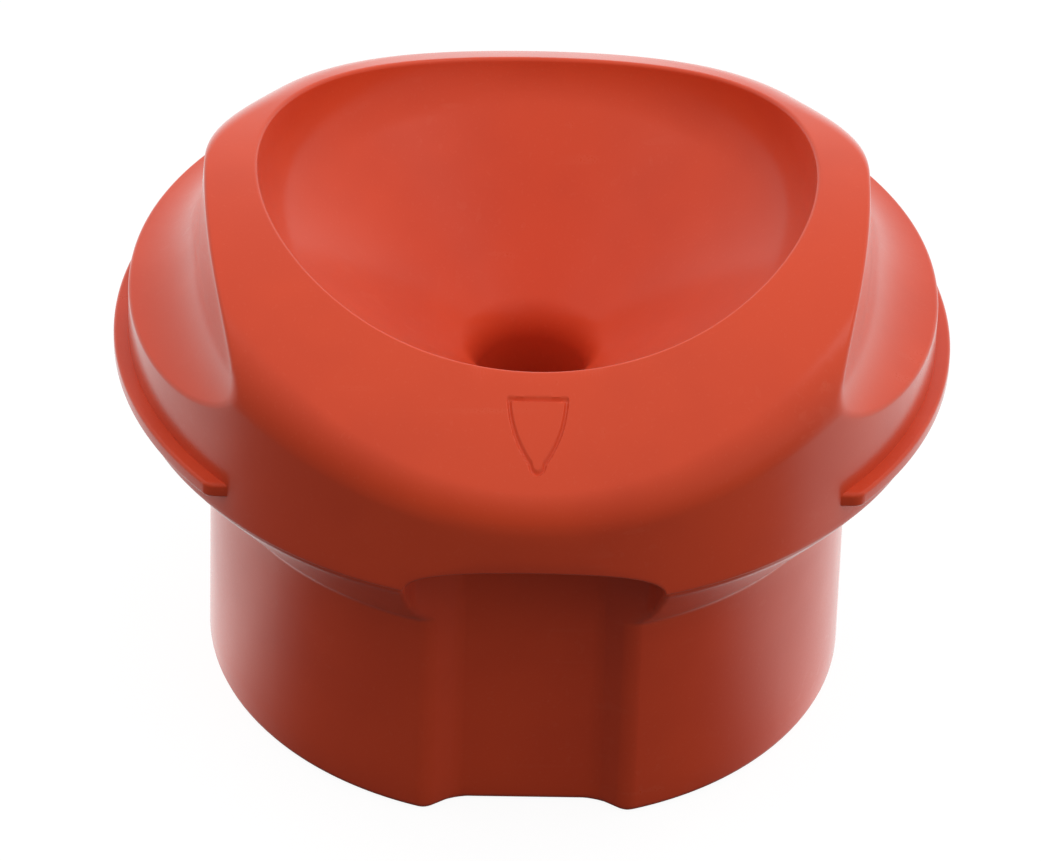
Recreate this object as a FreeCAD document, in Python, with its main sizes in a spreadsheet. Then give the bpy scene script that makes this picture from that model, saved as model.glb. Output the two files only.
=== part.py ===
"""Pour-through lid of an insulated jug: a FreeCAD macro that makes the parametric document.

The lid is a hollow plug that closes the jug's neck.  Its top is a funnel, so that a brewer can
drip straight through it, and a float valve under the throat keeps the heat in.  Millimetres,
+Z up, the origin at the middle of the plug's underside, the arrow and the pouring channel at -Y.
"""
import FreeCAD, Part
import Sketcher
import math
import os

# Every driving dimension: its name, its value in millimetres and what it is.
SIZES = [
    ("plug_radius", 30.0, "straight plug that enters the jug's neck"),
    ("plug_height", 22.4, "underside to the start of the conical shoulder"),
    ("plug_edge_round", 0.8, "rounding of the plug's lower edge"),
    ("plug_wall", 1.8, "thickness of the plug's wall and floor"),
    ("shell_radius", 37.7, "outer wall of the upper shell"),
    ("shell_bottom", 31.5, "height of the outer wall's lower edge"),
    ("shell_wall", 1.6, "thickness of the upper shell"),
    ("shell_ceiling", 38.2, "height of the flat ceiling above the air space"),
    ("core_top", 44.5, "top of the hollow between funnel and grips"),
    ("core_radius", 28.6, "outer radius of that hollow"),
    ("shoulder_lip", 0.7, "how far the shoulder stops short of the outer wall"),
    ("shoulder_rim", 0.8, "upright rim at the top of the conical shoulder"),
    ("spigot_height", 5.2, "plug rim that stands up inside the outer wall"),
    ("spigot_wall", 1.8, "thickness of that rim"),
    ("spigot_gap", 0.05, "spigot to outer wall, on the radius"),
    ("arch_height", 53.8, "crown of the arched top"),
    ("arch_sweep", 1.7, "radius of the arch, which runs left to right, in outer wall radii"),
    ("arch_edge_round", 5.0, "rounding between the arch and the outer wall"),
    ("bowl_rim_radius", 25.8, "bowl radius at the crown"),
    ("bowl_waist_radius", 25.2, "bowl radius where its steep wall ends"),
    ("bowl_waist_height", 47.4, "height where the steep wall meets the cone"),
    ("bowl_blend", 8.0, "rounding between the steep wall and the cone"),
    ("bowl_rim_round", 0.4, "rounding of the bowl's rim"),
    ("throat_radius", 5.0, "straight hole under the bowl"),
    ("throat_top", 33.2, "height where the cone would meet the throat"),
    ("throat_blend", 3.2, "rounding between the cone and the throat"),
    ("throat_wall", 1.6, "thickness of the throat tube"),
    ("grip_land", 4.9, "bowl's rim to the crest of each grip"),
    ("grip_plan_radius", 86.0, "curve of the crest seen from above"),
    ("grip_floor", 39.9, "height of the ledge where the grip hollow runs out"),
    ("grip_hollow_radius", 7.0, "curve of the hollow in section"),
    ("grip_lean", 0.4, "how far the grip face leans out from crest to hollow"),
    ("rib_reach", 1.4, "how far the locking ribs stand out of the outer wall"),
    ("rib_bottom", 33.9, "height of the ribs' underside"),
    ("rib_thickness", 1.5, "thickness of the ribs"),
    ("rib_half_span", 25.0, "middle to the flat end of a rib"),
    ("channel_depth", 3.2, "pouring channel, below the plug's surface"),
    ("channel_floor_half", 6.8, "half the width of the channel's flat floor"),
    ("channel_skirt_half", 10.9, "half the width where the channel leaves the plug"),
    ("channel_mouth_half", 12.0, "half the width of the mouth in the outer wall"),
    ("channel_flank_blend", 5.0, "rounding between floor and flank"),
    ("mouth_springing", 31.3, "height where the mouth's arch begins"),
    ("mouth_rise", 3.9, "rise of the mouth's arch"),
    ("channel_skin", 1.8, "plug wall left behind the channel"),
    ("arrow_half_width", 2.6, "half the width of the arrow's back edge"),
    ("arrow_back", 27.7, "middle of the lid to the arrow's back edge"),
    ("arrow_tip", 34.1, "middle of the lid to the arrow's tip"),
    ("arrow_side_radius", 14.0, "curve of the arrow's sides"),
    ("arrow_line", 0.36, "width of the engraved line"),
    ("arrow_depth", 0.3, "depth of the engraved line"),
    ("ball_room", 2.4, "float ball to the inside of the collar"),
    ("collar_wall", 1.8, "thickness of the collar"),
    ("collar_overlap", 6.0, "how far the collar reaches up around the throat tube"),
    ("seal_height", 3.0, "height of the throat seal"),
    ("seal_squeeze", 0.05, "how far the seal is pressed, on each side"),
    ("seal_drop", 0.6, "throat seal's top below the collar's top"),
    ("ball_margin", 0.6, "radius of the float ball beyond the throat's"),
    ("rest_gap", 0.05, "ball to cage floor when the valve is open"),
    ("seat_gap", 0.1, "ball to throat edge when the valve is shut"),
    ("ball_travel", 4.0, "rise of the ball from open to shut"),
    ("cage_fit", 0.03, "how far the cage is pressed in the collar, on its radius"),
    ("cage_wall", 1.2, "thickness of the cage's ring"),
    ("cage_bottom", 0.4, "cage's underside above the plug's underside"),
    ("cage_floor", 1.4, "thickness of the cage's spokes"),
    ("cage_spoke_width", 1.6, "width of a spoke"),
    ("cage_top_gap", 0.2, "cage's top below the throat tube"),
]
SPOKES = 3
# How far a cutting section reaches past the material that it cuts.
OVERCUT = 6.0
# Lengths closer than this count as the same when an edge is picked.
SLACK = 0.05
# The cone's wall, measured level, in thicknesses.
CONE_BACK = 1.3
# How far the shoulder's hollow is raised, in plug walls.
SHOULDER_RAISE = 0.6
# Degrees that a grip hollow turns about its own upright axis.
GRIP_ANGLE = 60.0
# Degrees of the shoulder left solid behind the pouring mouth.
FRONT_BLOCK_ANGLE = 52.0


class Size:
    """A length with its number now and the expression that keeps it current."""

    def __init__(self, value, text):
        self.value = float(value)
        self.text = text

    @staticmethod
    def of(other):
        if isinstance(other, Size):
            return other
        return Size(other, repr(float(other)))

    def _join(self, other, sign, value):
        return Size(value, "(" + self.text + " " + sign + " " + Size.of(other).text + ")")

    def __add__(self, other):
        return self._join(other, "+", self.value + Size.of(other).value)

    def __sub__(self, other):
        return self._join(other, "-", self.value - Size.of(other).value)

    def __mul__(self, other):
        return self._join(other, "*", self.value * Size.of(other).value)

    def __truediv__(self, other):
        return self._join(other, "/", self.value / Size.of(other).value)

    def __radd__(self, other):
        return Size.of(other) + self

    def __rsub__(self, other):
        return Size.of(other) - self

    def __rmul__(self, other):
        return Size.of(other) * self

    def __neg__(self):
        return Size(-self.value, "(0 - " + self.text + ")")

    def root(self):
        return Size(math.sqrt(self.value), "sqrt(" + self.text + ")")


class Sizes:
    """The sheet's cells as Size values, read by their aliases."""

    def __init__(self, sheet):
        for name, _value, _note in SIZES:
            setattr(self, name, Size(sheet.get(name), "Sizes." + name))
        self.arch_radius = self.shell_radius * self.arch_sweep
        self.grip_half_width = self.bowl_rim_radius + self.grip_land
        self.ball_radius = self.throat_radius + self.ball_margin
        self.collar_radius = self.ball_radius + self.ball_room
        self.ball_rest = self.cage_bottom + self.cage_floor + self.rest_gap + self.ball_radius
        seat = (self.ball_radius * self.ball_radius - self.throat_radius * self.throat_radius).root()
        self.throat_bottom = self.ball_rest + self.ball_travel + self.seat_gap + seat
        self.collar_top = self.throat_bottom + self.collar_overlap
        self.shoulder_radius = self.shell_radius - self.shoulder_lip
        self.rib_radius = self.shell_radius + self.rib_reach
        self.spigot_radius = self.shell_radius - self.shell_wall - self.spigot_gap
        self.channel_floor = self.plug_radius - self.channel_depth


def make_sheet(doc):
    sheet = doc.addObject("Spreadsheet::Sheet", "Sizes")
    for row, (name, value, note) in enumerate(SIZES, start=1):
        sheet.set("A%d" % row, name)
        sheet.set("B%d" % row, str(value))
        sheet.set("C%d" % row, note)
        sheet.setAlias("B%d" % row, name)
    doc.recompute()
    return sheet


def bind(target, prop, size):
    """Set a property to a length and keep it tied to the sheet."""
    size = Size.of(size)
    target.setExpression(prop, size.text)


def origin_plane(body, role):
    for feature in body.Origin.OriginFeatures:
        if feature.Role == role:
            return feature
    raise ValueError("no origin feature " + role)


def add_sketch(body, name, role):
    sketch = body.newObject("Sketcher::SketchObject", name)
    sketch.AttachmentSupport = [(origin_plane(body, role), "")]
    sketch.MapMode = "FlatFace"
    return sketch


def spot(corner):
    return FreeCAD.Vector(Size.of(corner[0]).value, Size.of(corner[1]).value, 0)


def hold_point(sketch, geometry, end, corner):
    """Tie one end of an edge to its two coordinates."""
    for kind, axis, size in (("DistanceX", -2, corner[0]), ("DistanceY", -1, corner[1])):
        if isinstance(size, (int, float)) and size == 0:
            sketch.addConstraint(Sketcher.Constraint("PointOnObject", geometry, end, axis))
            continue
        size = Size.of(size)
        index = sketch.addConstraint(Sketcher.Constraint(kind, -1, 1, geometry, end, size.value))
        sketch.setExpression("Constraints[%d]" % index, size.text)


def join_ends(sketch, before, after):
    sketch.addConstraint(Sketcher.Constraint("Coincident", before, 2, after, 1))


def draw_polygon(sketch, corners):
    """Draw a closed outline through the corners, each tied to its sizes."""
    first = sketch.GeometryCount
    count = len(corners)
    for index in range(count):
        start = spot(corners[index])
        finish = spot(corners[(index + 1) % count])
        sketch.addGeometry(Part.LineSegment(start, finish))
    for index in range(count):
        join_ends(sketch, first + index, first + (index + 1) % count)
    for index, corner in enumerate(corners):
        hold_point(sketch, first + index, 1, corner)


def draw_circle(sketch, middle, radius):
    radius = Size.of(radius)
    index = sketch.addGeometry(Part.Circle(spot(middle), FreeCAD.Vector(0, 0, 1), radius.value))
    hold_point(sketch, index, 3, middle)
    rule = sketch.addConstraint(Sketcher.Constraint("Radius", index, radius.value))
    sketch.setExpression("Constraints[%d]" % rule, radius.text)


def arc_between(sketch, start, finish, radius, middle_side):
    """Add an arc from start to finish; its middle lies on the given side of the chord."""
    first = spot(start)
    last = spot(finish)
    radius = Size.of(radius)
    chord = last - first
    reach = math.sqrt(radius.value ** 2 - (chord.Length / 2) ** 2)
    across = FreeCAD.Vector(-chord.y, chord.x, 0)
    across.normalize()
    middle = (first + last) / 2 + across * (reach * middle_side)
    crown = middle - across * (radius.value * middle_side)
    index = sketch.addGeometry(Part.Arc(first, crown, last))
    return index


def hold_radius(sketch, index, radius):
    radius = Size.of(radius)
    rule = sketch.addConstraint(Sketcher.Constraint("Radius", index, radius.value))
    sketch.setExpression("Constraints[%d]" % rule, radius.text)


def revolve(body, sketch, name):
    turned = body.newObject("PartDesign::Revolution", name)
    turned.Profile = sketch
    turned.ReferenceAxis = (sketch, ["V_Axis"])
    turned.Angle = 360.0
    return turned


def round_edges(body, name, chosen, radius):
    """Round the edges that the test picks on the body's present shape."""
    body.Document.recompute()
    base = body.Tip
    names = []
    for index, edge in enumerate(base.Shape.Edges, start=1):
        if chosen(edge):
            names.append("Edge%d" % index)
    if not names:
        raise ValueError("nothing to round for " + name)
    fillet = body.newObject("PartDesign::Fillet", name)
    fillet.Base = (base, names)
    bind(fillet, "Radius", radius)
    return fillet


def is_ring(edge, radius, height):
    """True for a circle about the lid's axis with this radius and height."""
    curve = edge.Curve
    if not isinstance(curve, Part.Circle):
        return False
    if abs(curve.Axis.z) < 0.999 or math.hypot(curve.Center.x, curve.Center.y) > SLACK:
        return False
    return abs(curve.Radius - radius) < SLACK and abs(curve.Center.z - height) < SLACK


def cut_solid(doc, label, base, tool):
    cut = doc.addObject("Part::Cut", label)
    cut.Base = base
    cut.Tool = tool
    return cut


def shell_section(size):
    """Half section of the upper shell: funnel inside, outer wall outside, hollow between."""
    above = size.arch_height + OVERCUT
    lean = (size.bowl_rim_radius - size.bowl_waist_radius) / (size.arch_height - size.bowl_waist_height)
    wall = size.shell_wall
    return [
        (size.throat_radius, size.throat_bottom),
        (size.throat_radius, size.throat_top),
        (size.bowl_waist_radius, size.bowl_waist_height),
        (size.bowl_rim_radius + lean * OVERCUT, above),
        (size.shell_radius, above),
        (size.shell_radius, size.shell_bottom),
        (size.shell_radius - wall, size.shell_bottom),
        (size.shell_radius - wall, size.shell_ceiling),
        (size.core_radius, size.shell_ceiling),
        (size.core_radius, size.core_top),
        (cone_underside(size, size.core_top), size.core_top),
        (size.throat_radius + size.throat_wall, underside_height(size)),
        (size.throat_radius + size.throat_wall, size.throat_bottom),
    ]


def cone_run(size):
    """Outward step of the funnel's cone for each millimetre of height."""
    return (size.bowl_waist_radius - size.throat_radius) / (size.bowl_waist_height - size.throat_top)


def cone_underside(size, height):
    """Radius of the cone's underside at a height, a wall's thickness below the funnel."""
    funnel = size.throat_radius + cone_run(size) * (height - size.throat_top)
    return funnel + cone_run(size) * size.shell_wall * CONE_BACK


def underside_height(size):
    """Height where the cone's underside meets the throat tube."""
    return size.throat_top + size.throat_wall / cone_run(size) - size.shell_wall * CONE_BACK


def cut_arch(body, size):
    """Take away everything above the arch."""
    sketch = add_sketch(body, "arch_outline", "YZ_Plane")
    side = size.shell_radius + OVERCUT
    drop = size.arch_radius - (size.arch_radius * size.arch_radius - side * side).root()
    low = size.arch_height - drop
    high = size.arch_height + OVERCUT * 2.0
    arc = arc_between(sketch, (-side, low), (side, low), size.arch_radius, -1)
    lines = []
    corners = [(side, low), (side, high), (-side, high), (-side, low)]
    for start, finish in zip(corners[:-1], corners[1:]):
        lines.append(sketch.addGeometry(Part.LineSegment(spot(start), spot(finish))))
    start_end, finish_end = arc_ends(sketch, arc, corners[3])
    sketch.addConstraint(Sketcher.Constraint("Coincident", arc, finish_end, lines[0], 1))
    join_ends(sketch, lines[0], lines[1])
    join_ends(sketch, lines[1], lines[2])
    sketch.addConstraint(Sketcher.Constraint("Coincident", lines[2], 2, arc, start_end))
    for line, corner in zip(lines, corners[:-1]):
        hold_point(sketch, line, 1, corner)
    hold_point(sketch, lines[2], 2, corners[3])
    hold_radius(sketch, arc, size.arch_radius)
    pocket = body.newObject("PartDesign::Pocket", "arch_cut")
    pocket.Profile = sketch
    pocket.Type = "ThroughAll"
    pocket.SideType = "Symmetric"
    return pocket


def arc_ends(sketch, arc, corner):
    """The arc's two ends as sketch positions, the one at the corner first."""
    begin = sketch.getPoint(arc, 1)
    if (begin - spot(corner)).Length < 1e-6:
        return 1, 2
    return 2, 1


def draw_hollow(sketch, size, crest, side):
    """Section of the hollow beside the upper body: a steep face that curves out to a ledge."""
    face = crest + size.grip_lean
    hollow = size.grip_floor + size.grip_hollow_radius
    floor_start = face + size.grip_hollow_radius
    far = size.shell_radius + OVERCUT
    high = size.arch_height + OVERCUT
    top = crest - size.grip_lean * 0.5
    points = [(top, high), (face, hollow), (floor_start, size.grip_floor), (far, size.grip_floor),
              (far, high)]
    placed = [(side * x, y) for x, y in points]
    edges = [sketch.addGeometry(Part.LineSegment(spot(placed[0]), spot(placed[1])))]
    edges.append(arc_between(sketch, placed[1], placed[2], size.grip_hollow_radius, side))
    for start, finish in ((2, 3), (3, 4), (4, 0)):
        edges.append(sketch.addGeometry(Part.LineSegment(spot(placed[start]), spot(placed[finish]))))
    begin, finish = arc_ends(sketch, edges[1], placed[1])
    sketch.addConstraint(Sketcher.Constraint("Coincident", edges[0], 2, edges[1], begin))
    sketch.addConstraint(Sketcher.Constraint("Coincident", edges[1], finish, edges[2], 1))
    for before, after in ((2, 3), (3, 4), (4, 0)):
        join_ends(sketch, edges[before], edges[after])
    for index, corner in ((0, 0), (2, 2), (3, 3), (4, 4)):
        hold_point(sketch, edges[index], 1, placed[corner])
    hold_point(sketch, edges[0], 2, placed[1])
    hold_radius(sketch, edges[1], size.grip_hollow_radius)


def groove_grip(body, size, name, side):
    """Hollow out one finger grip by turning its section about an upright axis."""
    sketch = add_sketch(body, name + "_section", "XZ_Plane")
    draw_hollow(sketch, size, size.grip_half_width, side)
    axis = side * (size.grip_half_width - size.grip_plan_radius)
    upright_line = Part.LineSegment(spot((axis, 0)), spot((axis, 10)))
    turning_axis = sketch.addGeometry(upright_line, True)
    hold_point(sketch, turning_axis, 1, (axis, 0))
    hold_point(sketch, turning_axis, 2, (axis, 10))
    groove = body.newObject("PartDesign::Groove", name)
    groove.Profile = sketch
    groove.ReferenceAxis = (sketch, ["Axis0"])
    groove.Angle = GRIP_ANGLE
    groove.Midplane = True
    return groove


def groove_back(body, size):
    """Carry the same hollow round the back of the upper body, about the lid's axis."""
    sketch = add_sketch(body, "back_section", "YZ_Plane")
    draw_hollow(sketch, size, size.grip_half_width, 1)
    groove = body.newObject("PartDesign::Groove", "back_hollow")
    groove.Profile = sketch
    groove.ReferenceAxis = (sketch, ["V_Axis"])
    groove.Angle = 180.0
    groove.Midplane = True
    return groove


def pad_rib(body, size, name, side):
    """Add one locking rib: a band on the outer wall with flat ends."""
    sketch = add_sketch(body, name + "_outline", "XY_Plane")
    inner = size.shell_radius - size.shell_wall * 0.5
    reach = size.rib_half_span
    x_outer = (size.rib_radius * size.rib_radius - reach * reach).root()
    x_inner = (inner * inner - reach * reach).root()
    corners = [(side * x_outer, -reach), (side * x_outer, reach),
               (side * x_inner, reach), (side * x_inner, -reach)]
    outer_arc = arc_between(sketch, corners[0], corners[1], size.rib_radius, side)
    top = sketch.addGeometry(Part.LineSegment(spot(corners[1]), spot(corners[2])))
    inner_arc = arc_between(sketch, corners[2], corners[3], inner, -side)
    bottom = sketch.addGeometry(Part.LineSegment(spot(corners[3]), spot(corners[0])))
    outer_start, outer_finish = arc_ends(sketch, outer_arc, corners[0])
    inner_start, inner_finish = arc_ends(sketch, inner_arc, corners[2])
    joins = [(outer_arc, outer_finish, top, 1), (top, 2, inner_arc, inner_start),
             (inner_arc, inner_finish, bottom, 1), (bottom, 2, outer_arc, outer_start)]
    for join in joins:
        sketch.addConstraint(Sketcher.Constraint("Coincident", *join))
    hold_point(sketch, top, 1, corners[1])
    hold_point(sketch, top, 2, corners[2])
    hold_point(sketch, bottom, 1, corners[3])
    hold_point(sketch, bottom, 2, corners[0])
    hold_radius(sketch, outer_arc, size.rib_radius)
    hold_radius(sketch, inner_arc, inner)
    sketch.setExpression("AttachmentOffset.Base.z", size.rib_bottom.text)
    pad = body.newObject("PartDesign::Pad", name)
    pad.Profile = sketch
    bind(pad, "Length", size.rib_thickness)
    return pad


def make_shell(doc, size):
    """The upper shell before the pouring mouth and the arrow are cut."""
    body = doc.addObject("PartDesign::Body", "shell_moulding")
    section = add_sketch(body, "shell_section", "XZ_Plane")
    draw_polygon(section, shell_section(size))
    revolve(body, section, "shell_turned")
    waist = (size.bowl_waist_radius.value, size.bowl_waist_height.value)
    round_edges(body, "bowl_waist", lambda edge: is_ring(edge, *waist), size.bowl_blend)
    throat = (size.throat_radius.value, size.throat_top.value)
    round_edges(body, "throat_mouth", lambda edge: is_ring(edge, *throat), size.throat_blend)
    cut_arch(body, size)
    wall = size.shell_radius.value - SLACK * 2
    inside = size.bowl_rim_radius.value + SLACK * 2
    round_edges(body, "arch_edge", lambda edge: on_arch(edge, size) and reach(edge) > wall,
                size.arch_edge_round)
    groove_grip(body, size, "right_grip", 1)
    groove_grip(body, size, "left_grip", -1)
    groove_back(body, size)
    round_edges(body, "bowl_rim", lambda edge: on_arch(edge, size) and reach(edge) < inside,
                size.bowl_rim_round)
    pad_rib(body, size, "right_rib", 1)
    pad_rib(body, size, "left_rib", -1)
    return body


def middle_of(edge):
    return edge.valueAt((edge.FirstParameter + edge.LastParameter) / 2)


def reach(edge):
    """Distance of the edge's middle from the lid's axis."""
    middle = middle_of(edge)
    return math.hypot(middle.x, middle.y)


def on_arch(edge, size):
    """True for an edge that lies on the arched top from end to end."""
    centre = size.arch_height.value - size.arch_radius.value
    for part in (0.1, 0.5, 0.9):
        place = edge.valueAt(edge.FirstParameter + part * (edge.LastParameter - edge.FirstParameter))
        if abs(math.hypot(place.y, place.z - centre) - size.arch_radius.value) > 0.01:
            return False
    return True


def straight(edge):
    return isinstance(edge.Curve, Part.Line)


def upright(edge):
    """True for a straight edge that runs up and down."""
    return straight(edge) and abs(edge.Curve.Direction.z) > 0.99


def make_channel_space(doc, size):
    """The room that the pouring channel and its arched mouth take out of both mouldings."""
    sketch = doc.addObject("Sketcher::SketchObject", "channel_plan")
    outside = size.shell_radius + OVERCUT
    skirt = size.channel_skirt_half
    skirt_y = (size.plug_radius * size.plug_radius - skirt * skirt).root()
    slope = (skirt_y - size.channel_floor) / (skirt - size.channel_floor_half)
    mouth = size.channel_mouth_half
    mouth_y = skirt_y + slope * (mouth - skirt)
    corners = [(size.channel_floor_half, -size.channel_floor), (mouth, -mouth_y), (mouth, -outside),
               (-mouth, -outside), (-mouth, -mouth_y), (-size.channel_floor_half, -size.channel_floor)]
    draw_polygon(sketch, corners)
    prism = doc.addObject("Part::Extrusion", "channel_prism")
    prism.Base = sketch
    prism.DirMode = "Custom"
    prism.Dir = FreeCAD.Vector(0, 0, 1)
    prism.Solid = True
    prism.LengthRev = OVERCUT
    bind(prism, "LengthFwd", size.mouth_springing)
    doc.recompute()
    floor_edges = []
    for index, edge in enumerate(prism.Shape.Edges, start=1):
        corner = edge.Vertexes[0].Point
        if upright(edge) and abs(corner.y + size.channel_floor.value) < 0.01:
            floor_edges.append((index, size.channel_flank_blend.value, size.channel_flank_blend.value))
    blended = doc.addObject("Part::Fillet", "channel_blended")
    blended.Base = prism
    blended.Edges = floor_edges
    oval = doc.addObject("Part::Ellipse", "mouth_oval")
    bind(oval, "MajorRadius", mouth)
    bind(oval, "MinorRadius", size.mouth_rise)
    turn = FreeCAD.Rotation(FreeCAD.Vector(1, 0, 0), 90)
    oval.Placement = FreeCAD.Placement(FreeCAD.Vector(0, -size.channel_floor.value, 0), turn)
    bind(oval, "Placement.Base.y", -size.channel_floor)
    bind(oval, "Placement.Base.z", size.mouth_springing)
    vault = doc.addObject("Part::Extrusion", "mouth_vault")
    vault.Base = oval
    vault.DirMode = "Custom"
    vault.Dir = FreeCAD.Vector(0, -1, 0)
    vault.Solid = True
    bind(vault, "LengthFwd", outside - size.channel_floor)
    space = doc.addObject("Part::Fuse", "channel_space")
    space.Base = blended
    space.Tool = vault
    return space


def make_arrow_line(doc, size):
    """The engraved outline of an arrow, as deep everywhere as the arched top is curved."""
    sketch = doc.addObject("Sketcher::SketchObject", "arrow_plan")
    half = size.arrow_half_width
    back = -size.arrow_back
    tip = -size.arrow_tip
    back_edge = sketch.addGeometry(Part.LineSegment(spot((half, back)), spot((-half, back))))
    left = arc_between(sketch, (-half, back), (0, tip), size.arrow_side_radius, 1)
    right = arc_between(sketch, (0, tip), (half, back), size.arrow_side_radius, 1)
    left_start, left_finish = arc_ends(sketch, left, (-half, back))
    right_start, right_finish = arc_ends(sketch, right, (0, tip))
    sketch.addConstraint(Sketcher.Constraint("Coincident", back_edge, 2, left, left_start))
    sketch.addConstraint(Sketcher.Constraint("Coincident", left, left_finish, right, right_start))
    sketch.addConstraint(Sketcher.Constraint("Coincident", right, right_finish, back_edge, 1))
    hold_point(sketch, back_edge, 1, (half, back))
    hold_point(sketch, back_edge, 2, (-half, back))
    hold_point(sketch, left, left_finish, (0, tip))
    hold_radius(sketch, left, size.arrow_side_radius)
    hold_radius(sketch, right, size.arrow_side_radius)
    inner = doc.addObject("Part::Offset2D", "arrow_inner")
    inner.Source = sketch
    bind(inner, "Value", -size.arrow_line)
    prisms = []
    for name, base in (("arrow_outer_prism", sketch), ("arrow_inner_prism", inner)):
        prism = doc.addObject("Part::Extrusion", name)
        prism.Base = base
        prism.DirMode = "Custom"
        prism.Dir = FreeCAD.Vector(0, 0, 1)
        prism.Solid = True
        bind(prism, "LengthFwd", size.arch_height + OVERCUT)
        prisms.append(prism)
    ring = cut_solid(doc, "arrow_ring", prisms[0], prisms[1])
    core = doc.addObject("Part::Cylinder", "arch_core")
    bind(core, "Radius", size.arch_radius - size.arrow_depth)
    bind(core, "Height", size.shell_radius * 2.0)
    turn = FreeCAD.Rotation(FreeCAD.Vector(0, 1, 0), 90)
    core.Placement = FreeCAD.Placement(FreeCAD.Vector(-size.shell_radius.value, 0, 0), turn)
    bind(core, "Placement.Base.x", -size.shell_radius)
    bind(core, "Placement.Base.z", size.arch_height - size.arch_radius)
    return cut_solid(doc, "arrow_line", ring, core)


def make_plug(doc, size):
    """The plug cup before the pouring channel is cut."""
    body = doc.addObject("PartDesign::Body", "plug_moulding")
    section = add_sketch(body, "plug_section", "XZ_Plane")
    rim_start = size.shell_bottom - size.shoulder_rim
    top = size.shell_bottom + size.spigot_height
    draw_polygon(section, [
        (0, 0),
        (size.plug_radius, 0),
        (size.plug_radius, size.plug_height),
        (size.shoulder_radius, rim_start),
        (size.shoulder_radius, size.shell_bottom),
        (size.spigot_radius, size.shell_bottom),
        (size.spigot_radius, top),
        (0, top),
    ])
    revolve(body, section, "plug_turned")
    bottom = (size.plug_radius.value, 0.0)
    round_edges(body, "plug_edge", lambda edge: is_ring(edge, *bottom), size.plug_edge_round)
    hollow_plug(body, size, top)
    widen_shoulder(body, size, rim_start, top)
    collar = add_sketch(body, "collar_section", "XZ_Plane")
    outer = size.collar_radius + size.collar_wall
    draw_polygon(collar, [(size.collar_radius, 0), (outer, 0), (outer, size.collar_top),
                          (size.collar_radius, size.collar_top)])
    revolve(body, collar, "collar_turned")
    outlet = add_sketch(body, "outlet_outline", "XY_Plane")
    draw_circle(outlet, (0, 0), size.collar_radius)
    bore = body.newObject("PartDesign::Pocket", "outlet")
    bore.Profile = outlet
    bore.Type = "ThroughAll"
    bore.SideType = "Symmetric"
    return body


def hollow_plug(body, size, top):
    """Open the plug from above, with a straight wall left behind the pouring channel."""
    sketch = add_sketch(body, "hollow_outline", "XY_Plane")
    inner = size.plug_radius - size.plug_wall
    flat = size.channel_floor - size.channel_skin
    half = (inner * inner - flat * flat).root()
    right = (half, -flat)
    left = (-half, -flat)
    arc = sketch.addGeometry(Part.Arc(spot(right), FreeCAD.Vector(0, inner.value, 0), spot(left)))
    chord = sketch.addGeometry(Part.LineSegment(spot(left), spot(right)))
    start, finish = arc_ends(sketch, arc, right)
    sketch.addConstraint(Sketcher.Constraint("Coincident", arc, finish, chord, 1))
    sketch.addConstraint(Sketcher.Constraint("Coincident", chord, 2, arc, start))
    hold_point(sketch, chord, 1, left)
    hold_point(sketch, chord, 2, right)
    hold_radius(sketch, arc, inner)
    sketch.setExpression("AttachmentOffset.Base.z", top.text)
    pocket = body.newObject("PartDesign::Pocket", "hollow")
    pocket.Profile = sketch
    bind(pocket, "Length", top - size.plug_wall)
    return pocket


def widen_shoulder(body, size, rim_start, top):
    """Hollow the conical shoulder all round but for the block behind the pouring mouth."""
    sketch = add_sketch(body, "shoulder_hollow_section", "YZ_Plane")
    inner = size.plug_radius - size.plug_wall
    wide = size.spigot_radius - size.spigot_wall
    over = size.plug_wall * SHOULDER_RAISE
    draw_polygon(sketch, [
        (inner - SLACK, size.plug_height + over),
        (inner, size.plug_height + over),
        (wide, rim_start + over),
        (wide, top + OVERCUT),
        (inner - SLACK, top + OVERCUT),
    ])
    groove = body.newObject("PartDesign::Groove", "shoulder_hollow")
    groove.Profile = sketch
    groove.ReferenceAxis = (sketch, ["V_Axis"])
    groove.Angle = 360.0 - FRONT_BLOCK_ANGLE
    groove.Midplane = True
    return groove


def make_seal(doc, size):
    """Silicone ring between the throat tube and the plug's collar."""
    body = doc.addObject("PartDesign::Body", "throat_seal")
    sketch = add_sketch(body, "seal_section", "XZ_Plane")
    inner = size.throat_radius + size.throat_wall - size.seal_squeeze
    outer = size.collar_radius + size.seal_squeeze
    top = size.collar_top - size.seal_drop
    bottom = top - size.seal_height
    draw_polygon(sketch, [(inner, bottom), (outer, bottom), (outer, top), (inner, top)])
    revolve(body, sketch, "seal_turned")
    return body


def make_cage(doc, size):
    """Snap-in cage that guides the float ball and holds it up when the valve is open."""
    body = doc.addObject("PartDesign::Body", "valve_cage")
    outer = size.collar_radius + size.cage_fit
    inner = size.collar_radius - size.cage_wall
    top = size.throat_bottom - size.cage_top_gap
    ring = add_sketch(body, "cage_section", "XZ_Plane")
    draw_polygon(ring, [(inner, size.cage_bottom), (outer, size.cage_bottom), (outer, top), (inner, top)])
    revolve(body, ring, "cage_turned")
    spoke = add_sketch(body, "spoke_outline", "XY_Plane")
    half = size.cage_spoke_width / 2.0
    reach = inner + size.cage_wall * 0.5
    draw_polygon(spoke, [(0, -half), (reach, -half), (reach, half), (0, half)])
    spoke.setExpression("AttachmentOffset.Base.z", size.cage_bottom.text)
    pad = body.newObject("PartDesign::Pad", "spoke")
    pad.Profile = spoke
    bind(pad, "Length", size.cage_floor)
    body.Document.recompute()
    star = body.newObject("PartDesign::PolarPattern", "spokes")
    star.Originals = [pad]
    star.Axis = (origin_plane(body, "Z_Axis"), [""])
    star.Angle = 360.0
    star.Occurrences = SPOKES
    body.Tip = star
    return body


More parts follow.
